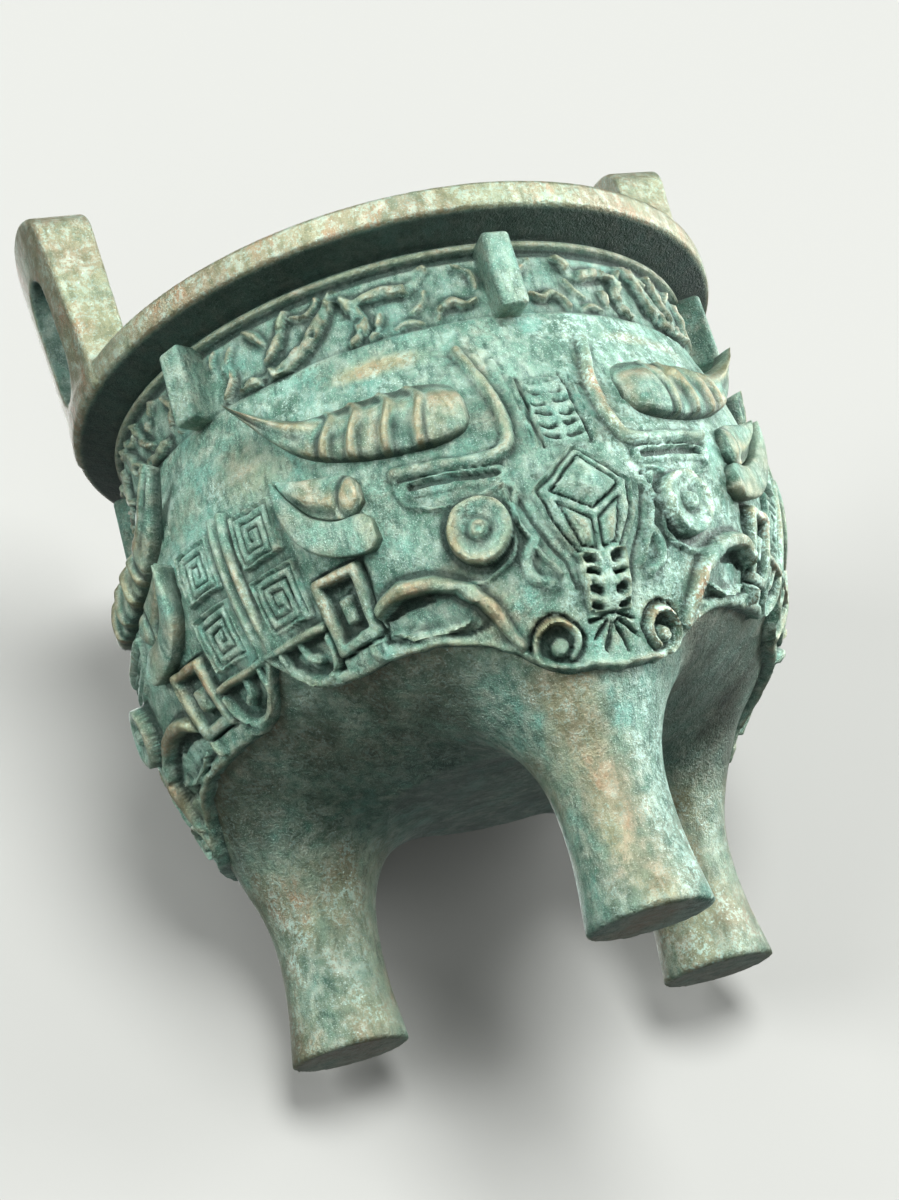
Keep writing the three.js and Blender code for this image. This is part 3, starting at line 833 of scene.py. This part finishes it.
# Upper and lower edges of the horn and of the ear's two lobes, as [degrees, height]
HORN = ([(13.2, 84), (14.8, 86.2), (19, 87.4), (25, 87.9), (31, 88.1), (37, 88), (41, 88.6), (45, 90.2),
         (48, 92), (50.2, 93.7)],
        [(13.2, 78.8), (15, 76.2), (20, 75.2), (26, 75.9), (32, 77.4), (37, 79.4), (41, 82),
         (44.4, 85.4), (47.6, 89.6), (50.2, 93.2)])
UPPER_LOBE = ([(32.4, 73.2), (33.4, 75.2), (36, 76.3), (40, 77.2), (43.4, 78), (45.3, 78.8)],
              [(32.4, 70.6), (34.6, 69.1), (38, 69.7), (41.6, 71.9), (44.2, 75.4), (45.4, 78.4)])
LOWER_LOBE = ([(31.8, 67.6), (33.4, 68.9), (37.6, 69.3), (41.4, 71.5), (44, 75.1), (45.5, 78.3)],
              [(31.4, 64.2), (33, 62.8), (37, 63.4), (41, 65.1), (44.4, 68.2), (46.1, 73), (45.9, 78)])
RIB_PLACES = (0.215, 0.33, 0.455, 0.56)  # shares of the horn's length
horn_rise = through([(0, 1.4), (0.05, 3.2), (0.14, 4.2), (0.3, 4.2), (0.6, 3.5), (0.8, 2.5), (1, 1)])
horn_lift = through([(0, 0), (0.55, 0), (0.7, 1), (0.85, 3), (1, 5.6)])
rib_hook = through([(-1, 0.15), (-0.4, 0), (0.3, -0.85), (0.7, -0.1), (1, 1.2)])
lobe_lift = through([(0, 0), (0.5, 0.2), (1, 1.5)])
LOBE_ROOT = 1.2  # how deep horns and ears go into the wall

def horn_form(share, across):
    """A thick horn with S-shaped ribs and a smooth butt; a keel runs along its free tip."""
    along = share - 0.024 * rib_hook(across)
    ribs = sum(np.exp(-((along - place) / 0.019) ** 2) for place in RIB_PLACES)
    between = step(0.175, 0.2, along) * (1 - step(0.585, 0.62, along))
    keel = step(0.6, 0.68, share) * np.clip(1 - np.abs(across - 0.35) * 1.5, 0, 1)
    flush = 1 - 0.62 * step(0.1, 1, across) * (1 - step(0.7, 0.9, share))
    face = (horn_rise(share) - 0.7 * between) * flush + 1.2 * ribs * (0.5 + 0.5 * flush) + 1.1 * keel
    face = face + 0.16 * uneven(share * 22, across * 3, 4.4)
    face = face - 0.5 * step(0.62, 0.7, share)
    lift = horn_lift(share)
    return face + lift, lift * 0.82 - LOBE_ROOT


def upper_lobe_form(share, across):
    """A flat dish with a round knob at its inner end and a groove along its lower edge."""
    knob = np.hypot((share - 0.15) / 0.13, across / 0.9)
    groove = np.exp(-((knob - 1.15) / 0.22) ** 2) * step(-0.2, 0.5, share)
    low_groove = step(0.25, 0.35, share) * (1 - step(0.7, 0.9, share)) * step(-0.3, -0.7, across)
    groove = np.maximum(groove, low_groove)
    lift = lobe_lift(share)
    return 2.3 + 0.3 * (1 - step(0.6, 1, knob)) - 0.75 * groove + lift, lift * 0.5 - LOBE_ROOT


def lower_lobe_form(share, across):
    lift = lobe_lift(share)
    return 3 - 0.6 * across * (1 - share) + lift, lift * 0.5 - LOBE_ROOT


def mask(name, middle):
    """A belly panel with the horns and ears of its mask."""
    parts = [panel(middle)]
    for side in (1, -1):
        for edges, form, stations, sides, squareness in (
                (HORN, horn_form, 140, 48, 0.45), (UPPER_LOBE, upper_lobe_form, 44, 40, 0.3),
                (LOWER_LOBE, lower_lobe_form, 50, 40, 0.25)):
            parts.append(lobe(middle, side, *edges, stations, sides, squareness, form))
    return piece(name, parts)

# Neck band

def neck_relief(u, v, around):
    """Dragons and clouds on one half panel of the neck, from a flange at 0 to the next at 60 degrees."""
    u = u + 0.26 * uneven(around / 1.6, v / 1.6, 3.3) + 0.5 * uneven(around / 5, v / 5, 9.1)
    v = v + 0.26 * uneven(around / 1.6, v / 1.6, 7.7)
    height = 0.16 * uneven(around / 2.2, v / 2.2, 1.9)
    grain = uneven(around / 1.1, v / 1.1, 14.5)
    kept = step(-0.5, -0.2, uneven(around / 2.4, v / 2.4, 31.7))

    def line(points, half, rise):
        path = rounded_path([(math.radians(d) * NECK_RADIUS, h) for d, h in points])
        d, share = path_distance(u, v, path)
        half = half * (0.9 + 0.3 * np.sin(np.pi * share) + 0.16 * grain)
        worn_line = ridge(d, half, rise * 0.85, 0.9) * (0.3 + 0.7 * kept) * (1 + 0.2 * grain)
        np.maximum(height, worn_line, out=height)

    line([(49, 99.6), (44.6, 99), (40, 99.4), (36.5, 100.8), (34, 103.2), (31.6, 105.8),
          (28.8, 108.2)], 1.45, 2.0)
    line([(43.8, 101.9), (41.6, 103.4), (39.6, 105.8), (38, 108.6)], 1.15, 1.8)
    line([(46.8, 108.8), (44.8, 106.6), (43.6, 105)], 0.9, 1.4)
    line([(37.2, 107.2), (35, 106.4), (32.4, 107.6), (31.8, 109)], 0.85, 1.5)
    line([(27.6, 98.8), (25.2, 100.4), (25.4, 103), (26.8, 105.6), (28, 107.4)], 1.2, 1.8)
    line([(27, 104.9), (24, 105.8), (20.5, 106), (17, 105.4), (14.8, 106.8), (13, 108.6)], 1.25, 1.8)
    line([(24.2, 98.8), (22.6, 100.3), (21.6, 102.6)], 0.9, 1.4)
    line([(12.6, 98.9), (11.4, 100.9), (9.2, 101.7), (7, 100.8), (5, 101.6)], 0.95, 1.5)
    line([(17, 101.2), (14.6, 102.8), (13.8, 104.4)], 0.8, 1.2)
    line([(4.4, 103.8), (4.8, 106.4), (7.4, 108.4)], 0.8, 1.3)
    line([(53.4, 99.4), (51.2, 101.6), (52.4, 104.6), (50.4, 107.6)], 0.95, 1.5)
    line([(20.4, 98.8), (18, 99.7), (15.6, 98.8)], 0.8, 1.2)
    line([(55.4, 106), (54.4, 108.4)], 0.8, 1.1)
    pits = step(0.2, 0.55, uneven(around / 1.25, v / 1.25, 21.5))
    pits = pits * step(-0.4, 0.1, uneven(around / 5, v / 5, 2.5))
    return height - 0.8 * pits * step(98.2, 99, v) * (1 - step(108, 109, v))


def neck_band():
    """A closed ring: the panels in front with a ledge over them, a plain wall behind."""
    cols = 1000
    angle = np.arange(cols) * 2 * math.pi / cols
    degrees = np.degrees(angle) % 120
    degrees = np.where(degrees > 60, 120 - degrees, degrees)
    heights = np.linspace(SHOULDER - 0.6, 111.7, 52)
    u, v = np.meshgrid(np.radians(degrees) * NECK_RADIUS, heights)
    around = np.broadcast_to(angle * NECK_RADIUS, u.shape)
    relief = neck_relief(u, v, around)
    relief[v < SHOULDER] = 0
    line_low, line_high = SHOULDER + 0.9, 108.9
    relief = relief * step(line_low - 0.5, line_low, v) * (1 - step(line_high, line_high + 0.5, v))
    relief = np.maximum(relief, 0.45 * (1 - step(0.2, 0.9, v - SHOULDER)))
    sunk = 0.35 * step(108.9, 109.3, v) * (1 - step(109.9, 110.2, v))
    relief = np.maximum(relief, 1.25 * step(109.9, 110.5, v) * (1 - 0.5 * step(111.2, 111.7, v))) - sunk
    r = NECK_RADIUS + 0.05 + relief
    front = np.stack([-r * np.sin(angle), -r * np.cos(angle), v], -1)
    back_heights = np.array([heights[-1], heights[0]])
    rb, vb = np.full((2, cols), NECK_RADIUS - 1.6), np.repeat(back_heights[:, None], cols, 1)
    back = np.stack([-rb * np.sin(angle), -rb * np.cos(angle), vb], -1)
    points = np.concatenate([front, back], 0).reshape(-1, 3)
    rows = len(heights) + 2
    faces = grid_faces(rows, cols, closed=True)
    i, j = np.arange(cols), (np.arange(cols) + 1) % cols
    close = np.stack([(rows - 1) * cols + i, i, j, (rows - 1) * cols + j], 1)
    blur = blurred(relief, 4)
    zeros = np.zeros(2 * cols)
    # Painted shade: darker in the relief's recesses, in the groove under the ledge and in a strip under the
    # rim, over a slight darkening all over
    groove_shade = step(108.6, 109.1, v) * (1 - step(109.8, 110.1, v))
    dark = np.clip((blur - relief) / 0.5, 0, 1) + 0.12 + 0.8 * groove_shade
    dark = dark + 0.7 * step(111.3, 111.6, v)
    extra = {
        "hollow": np.concatenate([np.clip(dark, 0, 1).ravel(), zeros]),
        "worn": np.concatenate([np.clip((relief - blur) / 0.55, 0, 1).ravel(), zeros]),
        "pale": 0.25,
    }
    return points, np.vstack([faces, close]).tolist(), extra


def flange_form(x, y, z):
    """A short upright bar at the front, with rounded edges."""
    inner, outer = NECK_RADIUS - 2, NECK_RADIUS + FLANGE_REACH
    low, high = SHOULDER, NECK_TOP - 0.8
    a = abs(x) - FLANGE_WIDTH / 2
    b = abs(-y - (inner + outer) / 2) - (outer - inner) / 2
    c = abs(z - (low + high) / 2) - (high - low) / 2
    edge = 0.9
    outside = np.sqrt(sum(np.maximum(d + edge, 0) ** 2 for d in (a, b, c)))
    return outside + np.minimum(np.maximum(np.maximum(a, b), c) + edge, 0) - edge


def rotated(points, degrees):
    x, y = turned(points[:, 0], points[:, 1], -degrees)
    return np.stack([x, y, points[:, 2]], 1)


# Sections made from the solid

def recess(angle, z):
    """How far the lower section draws back behind the panels."""
    degrees = np.abs((np.degrees(angle) + 60) % 120 - 60)
    return 1.0 * step(0.4, 1.4, z - mask_edge(degrees))


def lower_form(x, y, z):
    r, angle = polar(x, y)
    form = solid_form(x, y, z) + recess(angle, z)
    return np.maximum(np.maximum(form, 1.2 - hollow(x, y, z)), z - 60)


def upper_form(x, y, z):
    form = bowl(x, y, z)
    for degrees in HANDLE_DEGREES:
        form = smooth_min(form, handle(x, y, z, degrees), HANDLE_BLEND)
    form = np.maximum(form, -hollow(x, y, z))
    return np.maximum(form + 0.4 * step(0, 0.8, 110.4 - z), 107 - z)


def bowl_inside():
    """A closed thin shell whose inner face is the hollow of the bowl."""
    cols = 160
    angle = np.arange(cols) * 2 * math.pi / cols
    upright = np.linspace(1, 109.6, 60)
    inner = []
    low = np.linspace(0.5, 24, 10)
    start = cavity_outline[(cavity_outline[:, 0] > 12) & (cavity_outline[:, 1] < 109.6)]
    profile = np.vstack([[(0.4, cavity_floor), (6, cavity_floor + 0.07), (12, cavity_floor + 0.15)], start,
                         [(MOUTH_RADIUS, 103), (MOUTH_RADIUS, 109), (MOUTH_RADIUS + 0.9, 110.2)]])
    rows = []
    for offset in (0, 1.3):
        for r, z in profile if offset == 0 else profile[::-1]:
            lift = 2 if z > cavity_floor + 3 else 0
            swell = swell_at(angle, share_of(z - lift)) * step(cavity_floor, cavity_floor + 6, z)
            radius = r + swell * (r > 1) + (offset if r > 24 else 0)
            rows.append(np.stack([-radius * np.sin(angle), -radius * np.cos(angle),
                                  np.full(cols, z - (offset if r <= 40 else 0))], -1))
    points = np.array(rows)
    faces = grid_faces(len(rows), cols, closed=True)[:, ::-1].tolist()
    faces.append(list(range(cols)))
    faces.append(list(range((len(rows) - 1) * cols, len(rows) * cols))[::-1])
    return points.reshape(-1, 3), faces, {}


def leg_finish(points):
    """Where legs and underside are brown, dark or pale; the lower belly has painted shade."""
    x, y, z = points.T
    patches = uneven(x / 8, y / 8, z / 11)
    small = uneven(x / 3, y / 3, z / 4)
    r, angle = polar(x, y)
    degrees = np.abs((np.degrees(angle) + 60) % 120 - 60)
    under = step(1, -3, z - mask_edge(degrees)) * step(30, 36, z)
    middle_of_belly = (1 - step(22, 40, r)) * step(30, 36, z)
    brown = np.clip(0.66 + 0.4 * patches + 0.3 * small, 0, 1)
    brown = brown * (1 - 0.9 * middle_of_belly) * (1 - 0.4 * under)
    pale = np.clip(0.3 + 0.3 * small, 0, 1)
    # A slight darkening in patches all over, then painted shade on the lower belly below the masks
    dark = 0.27 + 0.1 * patches + 0.06 * small
    dark = dark + (0.24 + 0.1 * small) * under
    px, py = turned(x, y, LEG_DEGREES[0])
    front = (1 - step(15, 19, np.hypot(px, py + LEG_CIRCLE))) * (1 - step(38, 44, z))
    strip = np.exp(-((px + 3.6 + 0.16 * (z - 20)) / 5.6) ** 2)
    brown = brown * (1 - front) + front * np.clip(0.95 * strip + 0.35 * patches + 0.35 * small, 0, 1)
    # The front leg's right side toward the foot is painted paler in turquoise patches, a painted highlight
    # from the light on the right
    pale = pale * (1 - front) + front * (0.15 + 0.6 * step(-1, 7, px) * (1 - step(28, 38, z)) + 0.3 * small)
    dark = dark * (1 - front) + (0.22 + 0.08 * small) * front
    return {"brown": brown, "pale": np.clip(pale, 0, 1), "hollow": np.clip(dark, 0, 1)}


def rim_finish(points):
    """The rim's band and the handles are worn; the rim's underside, the neck below it and the handles' holes
    get painted shade.
    """
    x, y, z = points.T
    r = np.hypot(x, y)
    patches = uneven(x / 7, y / 7, z / 7)
    under = (1 - step(0, 1.2, z - rim_low)) * (1 - step(RIM_RADIUS - 1.2, RIM_RADIUS - 0.4, r))
    brown = np.clip(0.95 + 0.35 * patches, 0, 1)
    hole = np.zeros(len(points))
    for degrees in HANDLE_DEGREES:
        across, py = turned(x, y, degrees)
        inside = np.hypot(across, z - np.clip(z, HOLE_LOW, HOLE_HIGH)) - HOLE_HALF_WIDTH
        hole = np.maximum(hole, (1 - step(0.2, 0.7, inside)) * (py < 0) * (z > RIM_TOP + 0.6))
    brown = brown * (1 - under) * (1 - hole)
    # painted shade under the rim and inside the handles' holes, over a slight darkening in patches
    dark = np.maximum(np.maximum(0.74 * under, 0.5 * hole), 0.1 + 0.06 * patches)
    return {"brown": brown, "pale": 0.3 * (1 - under), "hollow": dark}


lower_points, lower_faces = grown_mesh(lower_form, (-64, -64, 0), (64, 64, 60), 0.82)
upper_points, upper_faces = grown_mesh(upper_form, (-64, -61, 107), (64, 61, 155), 0.63)
flange_points, flange_faces = grown_mesh(flange_form, (-3, -58, 97), (3, -50, 112), 0.4)

# The flanges' sides get painted shade; their front faces are rubbed and pale
flange_side = step(FLANGE_WIDTH / 2 - 0.8, FLANGE_WIDTH / 2 - 0.1, np.abs(flange_points[:, 0]))
flange_face = 0.35 * (1 - flange_side)
flange_finish = {"hollow": 0.3 * flange_side, "worn": flange_face, "pale": flange_face}

pieces = [
    piece("legs_and_underside", [(lower_points, lower_faces, leg_finish(lower_points))]),
    piece("rim_and_handles", [(upper_points, upper_faces, rim_finish(upper_points))]),
    piece("bowl_inside", [bowl_inside()]),
    piece("neck_band", [neck_band()] + [
        (rotated(flange_points, degrees), flange_faces, flange_finish)
        for degrees in range(0, 360, 60)]),
]
for name, middle in zip(("mask_front", "mask_left", "mask_right"), MASK_DEGREES):
    pieces.append(mask(name, middle))


# Material

def linear(hex_colour):
    """An sRGB hex colour as linear RGBA."""
    channels = [int(hex_colour[i:i + 2], 16) / 255 for i in (1, 3, 5)]
    return (*[c / 12.92 if c <= 0.04045 else ((c + 0.055) / 1.055) ** 2.4 for c in channels], 1)


def node(tree, kind, links=None, **settings):
    """Adds a node: links maps an input to a socket or a value, and settings are its own options."""
    made = tree.nodes.new(kind)
    for name, value in settings.items():
        setattr(made, name, value)
    for name, value in (links or {}).items():
        if isinstance(value, bpy.types.NodeSocket):
            tree.links.new(value, made.inputs[name])
        elif value is not None:
            made.inputs[name].default_value = value
    return made


def patinated_bronze():
    """Cast bronze with a chemical verdigris, waxed and rubbed.

    The eye gets a dull teal crust in clouds and brush streaks, brown metal with a soft gleam where the
    relief was rubbed, near-black green painted into the hollows and undersides as shade, and pale grains
    that caught in the cast skin.
    """
    made = bpy.data.materials.new("verdigris_cast_bronze")
    made.use_nodes = True
    tree = made.node_tree
    tree.nodes.clear()
    out = node(tree, "ShaderNodeOutputMaterial")
    place = node(tree, "ShaderNodeTexCoord").outputs["Object"]
    at = {name: node(tree, "ShaderNodeAttribute", attribute_name=name).outputs["Fac"]
          for name in ("hollow", "worn", "brown", "pale")}
    # Clouds, streaks and grain: name, size in mm, detail, roughness, upright scale. The real grain is
    # about 0.1 mm, too fine to show, and is drawn at 0.25 mm.
    for name, size, detail, roughness, upright in (
            ("large", 9, 6, 0.6, 1), ("middle", 2.4, 6, 0.72, 1), ("small", 0.6, 4, 0.75, 1),
            ("patches", 6.5, 5, 0.62, 0.7), ("fine", 0.25, 3, 0.7, 1), ("streaks", 1.4, 5, 0.7, 0.32)):
        spot = node(tree, "ShaderNodeMapping", {"Vector": place, "Scale": (1, 1, upright)})
        at[name] = node(tree, "ShaderNodeTexNoise", {
            "Vector": spot.outputs["Vector"], "Scale": 1000 / size, "Detail": detail,
            "Roughness": roughness}).outputs["Fac"]

    # Each skin is a ground colour under layers of noise, from, to, share and colour
    skins = []
    for ground, layers in (
            # Verdigris: deep green to turquoise in clouds, with pinkish grey wax and pale crust on it
            ("#446C5A", (("large", 0.36, 0.6, 1, "#739A88"), ("middle", 0.44, 0.66, 0.65, "#B2B8A6"),
                         ("streaks", 0.47, 0.62, 0.8, "#33564A"), ("patches", 0.54, 0.66, 0.55, "#74AE9E"),
                         ("small", 0.48, 0.62, 0.7, "#284B3E"), ("fine", 0.56, 0.68, 0.6, "#C3DCCF"))),
            # Worn metal: olive grey to pinkish brown, with rusty patches
            ("#6A6850", (("middle", 0.36, 0.66, 1, "#968A72"), ("large", 0.4, 0.62, 0.7, "#7C8466"),
                         ("patches", 0.54, 0.66, 0.55, "#906A4C"), ("streaks", 0.47, 0.62, 0.6, "#565B40"),
                         ("small", 0.5, 0.64, 0.55, "#42472F"), ("fine", 0.58, 0.68, 0.3, "#C9D2BA")))):
        colour = linear(ground)
        for name, low, high, share, hue in layers:
            amount = node(tree, "ShaderNodeMapRange", {
                0: at[name], "From Min": low, "From Max": high, "To Max": share})
            colour = node(tree, "ShaderNodeMix", {0: amount.outputs["Result"], 6: colour, 7: linear(hue)},
                          data_type="RGBA").outputs[2]
        skins.append(colour)
    crust, metal = skins

    # Rubbed places, thinned by the grain and blotched
    wear = node(tree, "ShaderNodeMath", {0: at["worn"], 1: 0.7, 2: at["brown"]}, operation="MULTIPLY_ADD")
    thinned = node(tree, "ShaderNodeMapRange", {
        0: at["small"], "From Min": 0.35, "From Max": 0.6, "To Min": 1.1, "To Max": 0.75})
    blotches = node(tree, "ShaderNodeMapRange", {
        0: at["middle"], "From Min": 0.35, "From Max": 0.65, "To Max": 0.28})
    wear = node(tree, "ShaderNodeMath", {
        0: wear.outputs["Value"], 1: thinned.outputs["Result"], 2: blotches.outputs["Result"]},
        operation="MULTIPLY_ADD")
    wear = node(tree, "ShaderNodeMapRange", {
        0: wear.outputs["Value"], "From Min": 0.2, "From Max": 0.95}).outputs["Result"]
    # Pale turquoise bloom in patches, and grains of it about a millimetre apart in the cast skin
    bloom = node(tree, "ShaderNodeMath", {0: at["small"], 1: 0.7, 2: at["middle"]}, operation="MULTIPLY_ADD")
    bloom = node(tree, "ShaderNodeMapRange", {0: bloom.outputs["Value"], "From Min": 0.84, "From Max": 1})
    bloom = node(tree, "ShaderNodeMath", {0: at["pale"], 1: bloom.outputs["Result"]},
                 operation="MULTIPLY", use_clamp=True)
    grains = node(tree, "ShaderNodeTexVoronoi", {"Vector": place, "Scale": 1000 / 1.1})
    grains = node(tree, "ShaderNodeMapRange", {
        0: grains.outputs["Distance"], "From Min": 0.14, "From Max": 0.06})
    caught = node(tree, "ShaderNodeMath", {0: at["pale"], 1: at["middle"]}, operation="ADD")
    caught = node(tree, "ShaderNodeMapRange", {
        0: caught.outputs["Value"], "From Min": 0.76, "From Max": 0.94})
    grains = node(tree, "ShaderNodeMath", {0: grains.outputs["Result"], 1: caught.outputs["Result"]},
                  operation="MULTIPLY", use_clamp=True)
    # Painted shade: near-black green in the hollows and undersides, broken by the grain
    dark = node(tree, "ShaderNodeMapRange", {
        0: at["hollow"], "From Min": 0.02, "From Max": 0.75, "To Max": 0.96})
    broken = node(tree, "ShaderNodeMapRange", {
        0: at["small"], "From Min": 0.3, "From Max": 0.6, "To Min": 1, "To Max": 0.8})
    dark = node(tree, "ShaderNodeMath", {0: dark.outputs["Result"], 1: broken.outputs["Result"]},
                operation="MULTIPLY")
    colour = crust
    for amount, hue in (
            (wear, metal), (bloom.outputs["Value"], linear("#AFD6CA")),
            (grains.outputs["Value"], linear("#BFDAD0")), (dark.outputs["Value"], linear("#0F211B"))):
        colour = node(tree, "ShaderNodeMix", {0: amount, 6: colour, 7: hue}, data_type="RGBA").outputs[2]

    # Rubbed metal is flatter, a little glossier and more metallic than the crust
    height = 0
    for name, weight in (("middle", 1.2), ("small", 1), ("fine", 0.4), ("streaks", 0.5)):
        height = node(tree, "ShaderNodeMath", {0: at[name], 1: weight, 2: height},
                      operation="MULTIPLY_ADD").outputs["Value"]
    strength = node(tree, "ShaderNodeMapRange", {0: wear, "To Min": 1, "To Max": 0.5}).outputs["Result"]
    bump = node(tree, "ShaderNodeBump", {"Height": height, "Strength": strength, "Distance": 0.00034})
    gloss = node(tree, "ShaderNodeMapRange", {0: wear, "To Min": 0.35, "To Max": 0.33})
    mottle = node(tree, "ShaderNodeMapRange", {
        0: at["small"], "From Min": 0.3, "From Max": 0.7, "To Min": -0.06, "To Max": 0.12})
    rough = node(tree, "ShaderNodeMath", {0: gloss.outputs["Result"], 1: mottle.outputs["Result"]},
                 operation="ADD")
    metallic = node(tree, "ShaderNodeMapRange", {0: wear, "To Min": 0.45, "To Max": 0.6})
    shader = node(tree, "ShaderNodeBsdfPrincipled", {
        "Base Color": colour, "Roughness": rough.outputs["Value"],
        "Metallic": metallic.outputs["Result"], "Normal": bump.outputs["Normal"]})
    tree.links.new(shader.outputs["BSDF"], out.inputs["Surface"])
    return made


bronze = patinated_bronze()
for made in pieces:
    made.data.materials.append(bronze)


# Stage, light and camera, in metres

def stage_material(name, colour):
    """A matt board that shows from its front alone."""
    made = bpy.data.materials.new(name)
    made.use_nodes = True
    tree = made.node_tree
    tree.nodes.clear()
    out = node(tree, "ShaderNodeOutputMaterial")
    facing = node(tree, "ShaderNodeNewGeometry").outputs["Backfacing"]
    matt = node(tree, "ShaderNodeBsdfDiffuse", {"Color": linear(colour)})
    clear = node(tree, "ShaderNodeBsdfTransparent")
    both = node(tree, "ShaderNodeMixShader", {0: facing, 1: matt.outputs[0], 2: clear.outputs[0]})
    tree.links.new(both.outputs[0], out.inputs["Surface"])
    return made


def board(name, centre, normal, size, colour):
    """A square board that takes light and shadow but throws none."""
    mesh = bpy.data.meshes.new(name)
    turn = Vector(normal).to_track_quat("Z", "Y").to_matrix().to_4x4()
    corners = [Matrix.Translation(centre) @ turn @ Vector((x * size, y * size, 0))
               for x, y in ((-1, -1), (1, -1), (1, 1), (-1, 1))]
    mesh.from_pydata(corners, [], [(0, 1, 2, 3)])
    made = bpy.data.objects.new(name, mesh)
    bpy.context.scene.collection.objects.link(made)
    mesh.materials.append(stage_material(name + "_board", colour))
    made.visible_diffuse = made.visible_glossy = made.visible_shadow = False
    return made


board("floor", (0, 0, -0.0002), (0, 0, 1), 3, "#80817E")
board("table", (0, 0.032, 0), (0, -0.936, 0.351), 3, "#8C8D8A")


def soft_light(name, place, aim, size, power):
    lamp = bpy.data.lights.new(name, "AREA")
    lamp.shape = "DISK"
    lamp.size, lamp.energy = size, power
    made = bpy.data.objects.new(name, lamp)
    bpy.context.scene.collection.objects.link(made)
    made.location = place
    made.rotation_euler = (Vector(aim) - Vector(place)).to_track_quat("-Z", "Y").to_euler()
    return made


BELLY = (0, 0, 0.07)
soft_light("key", (0.15, -1.75, 0.9), BELLY, 1.0, 70)
soft_light("left", (-1.9, -0.85, 0.7), BELLY, 1.2, 66)
soft_light("right", (2.1, -0.35, 0.5), BELLY, 1.5, 96)
soft_light("top", (-0.1, -0.7, 2.0), BELLY, 1.3, 12)
soft_light("low", (-0.4, -1.7, -0.9), (0, 0, 0.03), 1.2, 9)
soft_light("back", (0.3, 1.5, 0.9), BELLY, 1.2, 14)

world = bpy.data.worlds.new("studio")
bpy.context.scene.world = world
world.use_nodes = True
world.node_tree.nodes["Background"].inputs["Color"].default_value = linear("#EEF0F0")
world.node_tree.nodes["Background"].inputs["Strength"].default_value = 0.25
bpy.context.scene.view_settings.view_transform = "Standard"

# The photo's view, fitted to the rim, neck, flanges, feet and handles
CAMERA_PLACE = Vector((-0.137778, -0.329832, -0.057684))
CAMERA_AIM = Vector((-0.001668, 0.000684, 0.071664))
CAMERA_ROLL = math.radians(16.27)
CAMERA_LENS = 64.04
forward = (CAMERA_AIM - CAMERA_PLACE).normalized()
level = forward.cross(Vector((0, 0, 1))).normalized()
upright = level.cross(forward)
up = math.cos(CAMERA_ROLL) * upright + math.sin(CAMERA_ROLL) * level
right = forward.cross(up)
lens = bpy.data.cameras.new("camera")
lens.sensor_fit = "VERTICAL"
lens.sensor_width = lens.sensor_height = 36
lens.lens = CAMERA_LENS
lens.clip_start, lens.clip_end = 0.01, 20
camera = bpy.data.objects.new("camera", lens)
bpy.context.scene.collection.objects.link(camera)
turn = Matrix((right, up, -forward)).transposed().to_4x4()
camera.matrix_world = Matrix.Translation(CAMERA_PLACE) @ turn
bpy.context.scene.camera = camera
